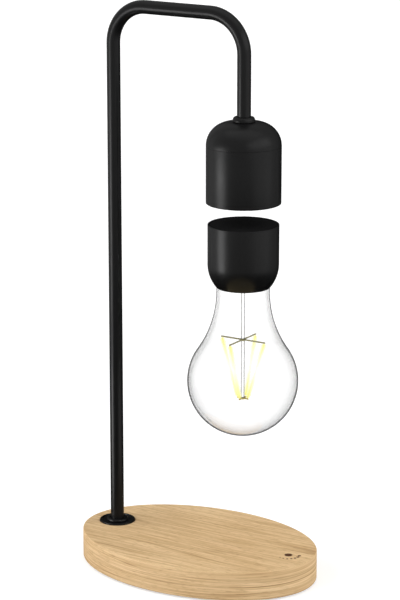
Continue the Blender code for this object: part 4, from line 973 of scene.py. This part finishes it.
def inlet():
    """The round power inlet in the back edge, with two solder tags, and the contact pin in its socket."""
    back = TAG_LENGTH - inlet_depth()
    front = -INLET_SUNK
    flange = front - INLET_THICK
    socket = front - SOCKET_DEPTH
    pin_floor = socket - PIN_SEAT
    pin_hole = PIN_RADIUS + FIT
    corners = [(0, back), (BARREL_RADIUS, back, BARREL_EDGE), (BARREL_RADIUS, flange)]
    corners += [(INLET_RADIUS, flange, INLET_EDGE), (INLET_RADIUS, front, FACE_EDGE)]
    corners += [(SOCKET_RADIUS, front, FACE_EDGE), (SOCKET_RADIUS, socket)]
    corners += [(pin_hole, socket), (pin_hole, pin_floor), (0, pin_floor)]
    bm = lathe(bmesh.new(), corners, TUBE_SIDES)
    for x in (-TAG_X, TAG_X):
        prism(bm, rectangle(TAG_SIDE, TAG_SIDE, x), back - TAG_LENGTH, back + TAG_ROOT)
    bm.transform(inlet_place())
    piece("power_inlet", bm, BLACK_PLASTIC, "black_plastic", "stand", "inlet_housing")
    pin = plug(PIN_RADIUS, pin_floor + FIT, front - PIN_BACK, high_edge=PIN_EDGE)
    shape = {"x": 0, "place": inlet_place(), "sides": ROD_SIDES}
    turned("inlet_contact_pin", pin, NICKEL, "nickel", "stand", "inlet_pin", **shape)


def rubber_feet():
    """Four feet with eased edges, each with a shallow recess below."""
    for number, node in enumerate(four("rubber_foot"), 1):
        centre = middle(node)
        radius = half_width(node)
        rim = radius - FOOT_RIM
        low, high = span(node)
        recess = low + FOOT_RECESS
        corners = [(0, high), (radius, high), (radius, low, FOOT_EDGE), (rim, low, FOOT_RIM_EDGE)]
        corners += [(rim - FOOT_RIM_SLOPE, recess), (0, recess)]
        shape = {"x": centre.x, "y": centre.y, "sides": SMALL_SIDES}
        turned(f"foot_{number}", corners, RUBBER, "rubber", "stand", node, **shape)


def touch_mark():
    """A plain dot burnt into the wood over the touch pad, with an arc of growing dots under it."""
    touch = middle("touch_pad")
    dots = [(touch.x, touch.y, DOT_RADIUS)]
    for number in range(DOT_COUNT):
        share = number / (DOT_COUNT - 1)
        turn = DOT_ARC_START + (DOT_ARC_END - DOT_ARC_START) * share
        x = touch.x + DOT_ARC_RADIUS * math.cos(turn)
        y = touch.y + DOT_ARC_RADIUS * math.sin(turn)
        dots.append((x, y, DOT_SMALLEST + (DOT_LARGEST - DOT_SMALLEST) * share))
    bm = bmesh.new()
    for x, y, radius in dots:
        dot = plug(radius, BASE_TOP - DOT_DEPTH, BASE_TOP + DOT_PROUD, high_edge=DOT_PROUD / 2)
        lathe(bm, dot, SMALL_SIDES, x, y, DOT_EDGE_STEPS)
    piece("touch_mark", bm, BURNT_OAK, "oak", "stand")


# Arm

def arm():
    """One tube, bent twice, from inside the base to inside the head."""
    foot, tip = low_z("arm_tube"), low_z("head_lock_nut") - ARM_PAST_NUT
    corners = [(POLE_X, 0, foot), (POLE_X, 0, BAR_Z), (HEAD_X, 0, BAR_Z), (HEAD_X, 0, tip)]
    bm = bar(bmesh.new(), filleted(corners, ARM_BEND), TUBE_RADIUS, TUBE_SIDES, TUBE_RADIUS - TUBE_WALL)
    piece("bent_tube", bm, BLACK_TUBE, "black_coat", "stand", "arm_tube")


def collar(node, wall):
    """A ring round the tube whose outer shoulder is a quarter of an oval, down from a top this thick."""
    low, high = span(node)
    outer = half_width(node)
    across = outer - TUBE_HOLE - wall
    start = low + (high - low) * COLLAR_UPRIGHT_SHARE
    quarter = arc(0, 0, 1, 0, math.pi / 2, COLLAR_STEPS)
    shoulder = [(TUBE_HOLE + wall + across * out, start + (high - start) * up) for out, up in quarter]
    return [(TUBE_HOLE, low), (outer, low), *shoulder, (TUBE_HOLE, high)]


def pole_foot():
    """The flange let into the wood, with its raised lip, and the ring round the tube on it."""
    radius = half_width("base_flange")
    inside = radius - LIP_BREADTH
    low, high = span("base_flange")
    lip = BASE_TOP + LIP_PROUD
    corners = [(TUBE_HOLE, low), (radius, low), (radius, lip, LIP_OUTER_EDGE)]
    corners += [(inside, lip, LIP_INNER_EDGE), (inside - LIP_SLOPE, high, LIP_FOOT_EDGE), (TUBE_HOLE, high)]
    coat = (BLACK_TUBE, "black_coat", "stand")
    turned("pole_flange", corners, *coat, "base_flange", x=POLE_X, steps=FINE_EDGE_STEPS)
    wall = (half_width("pole_collar") - TUBE_HOLE) / 2
    turned("pole_ring", collar("pole_collar", wall), *coat, "pole_collar", x=POLE_X)


# Head

def upper_shell():
    """Dome of the head, hollow inside, with a spigot that reaches down into the lower shell."""
    centre_r = HEAD_RADIUS - DOME_FILLET
    shell = arc(centre_r, SEAM, DOME_FILLET, DOME_FROM, math.pi / 2)
    inside = arc(centre_r, SEAM, DOME_FILLET - DOME_WALL, math.pi / 2, DOME_INSIDE_TO)
    crown = HEAD_HIGH - CROWN_WALL
    step_z = SEAM + SPIGOT_STEP
    low = SEAM - SPIGOT_LENGTH
    spigot = HEAD_RADIUS - SKIRT_WALL - FIT
    bore = spigot - SPIGOT_WALL
    corners = [(HEAD_RADIUS, SEAM + SEAM_GAP, SEAM_EDGE), *shell, (TUBE_HOLE, HEAD_HIGH)]
    corners += [(TUBE_HOLE, crown), (inside[0][0], crown), *inside[1:], (inside[-1][0], step_z)]
    corners += [(bore, step_z), (bore, low), (spigot, low), (spigot, SEAM + SEAM_GAP)]
    turned("upper_shell", corners, BLACK_SHELL, "black_shell", "stand", "head_dome")


def lower_shell():
    inner = HEAD_RADIUS - SKIRT_WALL
    lip = HEAD_RADIUS - SKIRT_LIP
    ledge = high_z("head_end_plate") + FIT
    corners = [(lip, HEAD_LOW, SKIRT_LIP_EDGE), (HEAD_RADIUS, HEAD_LOW, SKIRT_EDGE)]
    corners += [(HEAD_RADIUS, SEAM, SEAM_EDGE), (inner, SEAM), (inner, ledge), (lip, ledge)]
    turned("lower_shell", corners, BLACK_SHELL, "black_shell", "stand", "head_skirt")


def tube_collar():
    corners = collar("head_grommet", GROMMET_LIP)
    turned("tube_collar", corners, BLACK_TUBE, "black_coat", "stand", "head_grommet")


def head_underside():
    """Disc that closes the head below, with one shallow groove near its rim."""
    radius = half_width("head_end_plate")
    low, high = span("head_end_plate")
    outer = radius - GROOVE_BORDER
    inner = outer - GROOVE_BREADTH
    groove = low + GROOVE_DEPTH
    corners = [(0, low), (inner, low, GROOVE_EDGE), (inner + GROOVE_SLOPE, groove)]
    corners += [(outer - GROOVE_SLOPE, groove), (outer, low, GROOVE_EDGE), (radius, low, UNDERSIDE_EDGE)]
    corners += [(radius, high), (0, high)]
    turned("head_underside", corners, BLACK_PLASTIC, "black_plastic", "stand", "head_end_plate")


# Floating unit

def bulb_cap():
    """Cap of the bulb: open at the top for its lid, and curved in to the neck of the glass."""
    centre_r = CAP_RADIUS - CAP_CURVE
    centre_z = CAP_TOP - CAP_STRAIGHT
    rim_inner = NECK_INNER + FIT
    hole = CAP_RADIUS - CAP_RIM
    ledge = low_z("float_lid") - FIT
    outside = arc(centre_r, centre_z, CAP_CURVE, -CAP_SWEEP, 0)
    inside = arc(centre_r, centre_z, CAP_CURVE - CAP_WALL, 0, -CAP_SWEEP)
    corners = [*outside, (CAP_RADIUS, CAP_TOP, CAP_EDGE), (hole, CAP_TOP, CAP_EDGE), (hole, ledge)]
    corners += [(CAP_RADIUS - CAP_WALL, ledge), *inside, (rim_inner, inside[-1][1] - FIT)]
    corners.append((rim_inner, CAP_RIM_Z))
    turned("bulb_cap", corners, BLACK_SHELL, "black_shell", "bulb", "float_cap")


def cap_lid():
    corners = plug(half_width("float_lid"), *span("float_lid"), high_edge=LID_EDGE)
    turned("cap_lid", corners, BLACK_LID, "black_plastic", "bulb", "float_lid")


def glass_curve(wall):
    """Globe, then the concave shoulder up to the straight neck, this deep inside the outer skin."""
    across = NECK_RADIUS + GLASS_SHOULDER
    rise = math.sqrt((GLASS_RADIUS + GLASS_SHOULDER) ** 2 - across**2)
    meeting = math.atan2(rise, across)
    shoulder_z = CAP_RIM_Z - NECK_STRAIGHT
    globe = arc(0, shoulder_z - rise, GLASS_RADIUS - wall, -math.pi / 2, meeting, GLOBE_STEPS)
    shoulder = arc(across, shoulder_z, GLASS_SHOULDER + wall, math.pi + meeting, math.pi, SHOULDER_STEPS)
    return [(0, globe[0][1]), *globe[1:], *shoulder[1:]]


def bulb_glass():
    """One blown wall: globe, shoulder, and a neck that steps in to seat in the cap."""
    inside = NECK_INNER - GLASS_WALL
    neck = [(NECK_RADIUS, NECK_SEAT_Z), (NECK_INNER, NECK_SEAT_Z), (NECK_INNER, NECK_TOP)]
    neck += [(inside, NECK_TOP), (inside, NECK_SEAT_Z), (NECK_RADIUS - GLASS_WALL, NECK_SEAT_Z - SEAT_WALL)]
    corners = [*glass_curve(0.0), *neck, *glass_curve(GLASS_WALL)[::-1]]
    turned("bulb_glass", corners, GLASS, "glass", "bulb", "glass_bulb", sides=GLASS_SIDES)


def stem():
    """A long glass rod with a rounded tip, which flares out at its top to a rim inside the neck."""
    rim = NECK_INNER - GLASS_WALL - FIT
    top = NECK_TOP - FIT
    low = LOWER_Z - ROD_PAST_SUPPORT
    flare = top - FLARE_RISE
    shares = [step / FLARE_STEPS for step in range(FLARE_STEPS + 1)]
    outside = [(ROD_RADIUS + (rim - ROD_RADIUS) * share**2, flare + FLARE_RISE * share) for share in shares]
    hollow = flare + FLARE_CORE + FLARE_WALL
    inside = [((rim - FLARE_WALL) * share, hollow + (top - hollow) * share**0.5) for share in shares[::-1]]
    end = arc(0, 1, 1, -math.pi / 2, 0, FINE_EDGE_STEPS)
    tip = [(ROD_RADIUS * across, low + ROD_RADIUS * ROD_TIP_SHARE * up) for across, up in end]
    corners = [*tip, *outside, *inside]
    turned("stem_glass", corners, STEM_GLASS, "glass", "bulb", "glass_stem", sides=SMALL_SIDES)


def wire_support(name, node, height, reach, material):
    """A ring round the stem and four wires, each of which ends over or under a light rod."""
    inner = ROD_RADIUS + FIT
    outer = inner + RING_WALL
    low, high = height - RING_HEIGHT / 2, height + RING_HEIGHT / 2
    corners = [(inner, low), (outer, low, RING_EDGE), (outer, high, RING_EDGE), (inner, high)]
    bm = lathe(bmesh.new(), corners, SMALL_SIDES, HEAD_X)
    centre = Vector((HEAD_X, 0, height))
    for turn in full_turn(LIGHT_RODS):
        out = Vector((math.cos(turn), math.sin(turn), 0))
        path = [centre + out * (inner + outer) / 2, centre + out * reach]
        bar(bm, path, SUPPORT_WIRE, WIRE_SIDES, side_axis=(0, 0, 1))
    piece(name, bm, material, "support_wire", "bulb", node)


def glowing_rods():
    """Four leaning light rods between the wire crosses, each in its clear sleeve."""
    top = Vector((UPPER_ARM - LIGHT_ROD_END, 0, UPPER_Z - SUPPORT_TO_ROD))
    foot = Vector((LOWER_ARM - LIGHT_ROD_END, 0, LOWER_Z + SUPPORT_TO_ROD))
    along = top - foot
    length = along.length
    body_end = length - TAB_LENGTH
    rod = [(0, 0), (TAB_RADIUS, 0), (TAB_RADIUS, TAB_LENGTH), (CORE_RADIUS, TAB_LENGTH)]
    rod += [(CORE_RADIUS, body_end), (TAB_RADIUS, body_end), (TAB_RADIUS, length), (0, length)]
    sleeve = plug(SLEEVE_RADIUS, SLEEVE_START, length - SLEEVE_START, SLEEVE_EDGE, SLEEVE_EDGE)
    lean = along.to_track_quat("Z", "Y").to_matrix().to_4x4()
    for number, turn in enumerate(full_turn(LIGHT_RODS), 1):
        about = Matrix.Rotation(turn, 4, "Z")
        place = Matrix.Translation((HEAD_X, 0, 0)) @ about @ Matrix.Translation(foot) @ lean
        shape = {"x": 0, "place": place, "sides": ROD_SIDES}
        turned(f"filament_{number}", rod, GLOW, "light_rod", "bulb", f"light_rod_{number}", **shape)
        turned(f"filament_sleeve_{number}", sleeve, GLOW_SLEEVE, "light_rod", "bulb", **shape)


# Finishes of the CAD nodes that stay

NUTS_AND_WASHERS = ["pole_washer", "pole_lock_nut", "head_washer", "head_lock_nut"]
KEPT_FINISHES = (
    (PLATE_COAT, "plate_coat", ["bottom_plate"]),
    (ZINC, "zinc", four("plate_screw") + four("board_screw") + NUTS_AND_WASHERS),
    (BOARD, "board", ["control_board", "sensor_board", "driver_board", "rectifier_board"]),
    (COPPER, "copper", ["touch_pad", "transmit_coil", "coil_winding", "receive_coil"]),
    (CABLE, "cable", ["touch_lead", "inlet_lead_1", "inlet_lead_2", "arm_cable"]),
    (NICKEL, "nickel", ["inlet_nut", "lifting_magnet", "float_magnet"]),
    (CLEAR_PLASTIC, "clear_plastic", ["coil_bobbin", "magnet_holder", "bulb_socket"]),
    (IRON, "iron", ["iron_core"]),
)


def finish_kept_nodes():
    for material, slot, names in KEPT_FINISHES:
        for name in names:
            node = NODES[name]
            node.data.materials.clear()
            node.data.materials.append(material)


# Studio

def point(thing, ahead, axis="-Z"):
    """Turn the thing so that its axis points ahead."""
    thing.rotation_euler = ahead.to_track_quat(axis, "Y").to_euler()


def camera():
    data = bpy.data.cameras.new("camera")
    data.lens = CAMERA_LENS
    data.shift_x = CAMERA_SHIFT_X
    data.clip_start = CAMERA_NEAR
    data.clip_end = CAMERA_FAR
    made = new_object("camera", data)
    flat = math.cos(PITCH)
    across, along = -math.sin(AZIMUTH) * flat, math.cos(AZIMUTH) * flat
    made.location = CAMERA_PLACE
    point(made, Vector((across, along, -math.sin(PITCH))))
    bpy.context.scene.camera = made


def from_camera(degrees_left, height, distance):
    """A place round the bulb, this many degrees to the left of the camera as the camera sees it."""
    turn = AZIMUTH - math.radians(degrees_left)
    return Vector((HEAD_X + distance * math.sin(turn), -distance * math.cos(turn), height))


def seen_rays(tree):
    """1 where the camera, a reflection or a view through glass looks, and 0 for light that only falls."""
    rays = add(tree, "LightPath")
    seen = combine(tree, "MAXIMUM", rays.outputs["Is Camera Ray"], rays.outputs["Is Glossy Ray"])
    return combine(tree, "MAXIMUM", seen, rays.outputs["Is Transmission Ray"])


def flat_face(name, outline, material):
    bm = bmesh.new()
    bm.faces.new(ring(bm, outline))
    return mesh_object(name, bm, material)


def floor():
    made, tree = new_material("white_floor")
    set_inputs(tree, {
        "Base Color": (FLOOR_WHITE, FLOOR_WHITE, FLOOR_WHITE, 1.0),
        "Roughness": FLOOR_ROUGHNESS,
        "Specular IOR Level": 0.0,
        "Emission Color": WHITE,
        "Emission Strength": times(tree, seen_rays(tree), FLOOR_GLOW),
    })
    flat_face("floor", rectangle(2 * FLOOR_HALF, 2 * FLOOR_HALF), made)


def world():
    made = bpy.data.worlds.new("studio")
    bpy.context.scene.world = made
    made.use_nodes = True
    tree = made.node_tree
    strength = remap(tree, seen_rays(tree), 0.0, 1.0, WORLD_FILL, 1.0)
    set_inputs(tree, {"Color": WHITE, "Strength": strength}, "Background")


def shining(name, colour=WHITE):
    """A material that only shines, its node tree and the strength of its light."""
    made, tree = new_material(name)
    tree.nodes.clear()
    shine = add(tree, "Emission", Color=colour)
    add(tree, "OutputMaterial", Surface=shine.outputs[0])
    return made, tree, shine.inputs["Strength"]


def only_reflected(thing):
    """For reflections alone to show: not the camera, falling light or glass, and without a shadow."""
    thing.visible_camera = False
    thing.visible_diffuse = False
    thing.visible_transmission = False
    thing.visible_shadow = False


def dark_reflector():
    """A bowl behind the lamp that only reflections show: black in its middle and near the floor, and white
    at its rim. It draws the edges of the glass and keeps the sides of the black pieces dark."""
    made, tree, strength = shining("dark_to_white")
    cosine = combine(tree, "DIVIDE", parts_of(tree, own_place(tree))["Z"], BOWL_RADIUS)
    angle = combine(tree, "ARCCOSINE", cosine)
    white = remap(tree, angle, BOWL_DARK_ANGLE, BOWL_HALF_ANGLE)
    height = parts_of(tree, add(tree, "NewGeometry").outputs["Position"])["Z"]
    above = remap(tree, height, BOWL_DARK_BELOW, BOWL_LIT_ABOVE)
    put(tree, strength, times(tree, combine(tree, "POWER", white, BOWL_FALL), above))
    bm = bmesh.new()
    profile = arc(0, 0, BOWL_RADIUS, math.pi / 2, math.pi / 2 - BOWL_HALF_ANGLE, BOWL_STEPS)
    join_rings(bm, [ring(bm, circle(radius, sides=TUBE_SIDES), height) for radius, height in profile])
    bowl = mesh_object("dark_reflector", bm, made)
    turn = AZIMUTH - BOWL_TURN
    point(bowl, Vector((-math.sin(turn), math.cos(turn), 0)), "Z")
    bowl.location = (HEAD_X, 0, BOWL_HEIGHT)
    only_reflected(bowl)


def dark_card():
    """A disc on the floor that only reflections show: black, and white again towards its rim."""
    made, tree, strength = shining("dark_to_white_disc")
    away = add(tree, "VectorMath", operation="LENGTH", Vector=own_place(tree)).outputs["Value"]
    put(tree, strength, remap(tree, away, CARD_DARK_RADIUS, CARD_RADIUS))
    card = flat_face("dark_card", circle(CARD_RADIUS, sides=BROAD_SIDES), made)
    card.location = from_camera(0, CARD_HEIGHT, CARD_AHEAD)
    only_reflected(card)


def warm_glint():
    """A small warm disc that only reflections show: the lit bulb as the underside of the cap sees it."""
    made, tree, strength = shining("warm_glint", GLINT_COLOUR)
    strength.default_value = GLINT_STRENGTH
    disc = flat_face("warm_glint", circle(GLINT_RADIUS), made)
    disc.location = from_camera(GLINT_LEFT, CAP_RIM_Z - GLINT_DROP, GLINT_AHEAD)
    only_reflected(disc)


def add_lamp(data, place, target):
    made = new_object(data.name, data)
    made.location = place
    point(made, Vector(target) - place)
    made.visible_camera = False
    made.visible_transmission = False
    return made


def soft_sun(name, degrees_left, elevation, strength):
    """A very wide sun, so that its shadows all but melt away."""
    data = bpy.data.lights.new(name, "SUN")
    data.energy = strength
    data.angle = SUN_ANGLE
    rise = math.tan(math.radians(elevation))
    made = add_lamp(data, from_camera(degrees_left, rise, 1.0), (HEAD_X, 0, 0))
    made.visible_glossy = False


def gloss_panel(name, place, target, size, radiance):
    """A softbox that only gloss shows."""
    data = bpy.data.lights.new(name, "AREA")
    data.shape = "RECTANGLE"
    data.size, data.size_y = size
    data.energy = radiance * math.pi * size[0] * size[1]
    made = add_lamp(data, place, target)
    made.visible_diffuse = False
    return made


def lights():
    for sun in SUNS:
        soft_sun(*sun)
    for name, degrees_left, height, target_height, breadth, length, radiance in PANELS:
        place = from_camera(degrees_left, height, PANEL_AWAY)
        gloss_panel(name, place, (HEAD_X, 0, target_height), (breadth, length), radiance)
    reached = bpy.data.collections.new("lit_by_low_strips")
    for name in LOW_STRIPS_REACH:
        reached.objects.link(bpy.data.objects[name])
    for name, degrees_left, share, radiance in LOW_STRIP_SHARES:
        place = from_camera(degrees_left, LOW_STRIP_HEIGHT / 2, LOW_STRIP_AWAY)
        place += Vector((POLE_X - HEAD_X, 0, 0))
        size = (share * LOW_STRIP_AWAY, LOW_STRIP_HEIGHT)
        low = gloss_panel(name, place, (POLE_X, 0, LOW_STRIP_HEIGHT / 2), size, radiance)
        low.light_linking.receiver_collection = reached
    above = Vector((HEAD_X, 0, TOP_PANEL_HEIGHT))
    gloss_panel("panel_top", above, (HEAD_X, 0, 0), (TOP_PANEL_SIDE, TOP_PANEL_SIDE), TOP_PANEL_RADIANCE)


wood_base()
touch_mark()
inlet()
rubber_feet()
arm()
pole_foot()
upper_shell()
lower_shell()
tube_collar()
head_underside()
bulb_cap()
cap_lid()
bulb_glass()
stem()
wire_support("upper_wires", "upper_support", UPPER_Z, UPPER_ARM, UPPER_WIRE)
wire_support("lower_wires", "lower_support", LOWER_Z, LOWER_ARM, LOWER_WIRE)
glowing_rods()
finish_kept_nodes()
camera()
floor()
world()
dark_reflector()
dark_card()
warm_glint()
lights()
bpy.context.scene.view_settings.view_transform = "Standard"

bpy.context.view_layer.update()
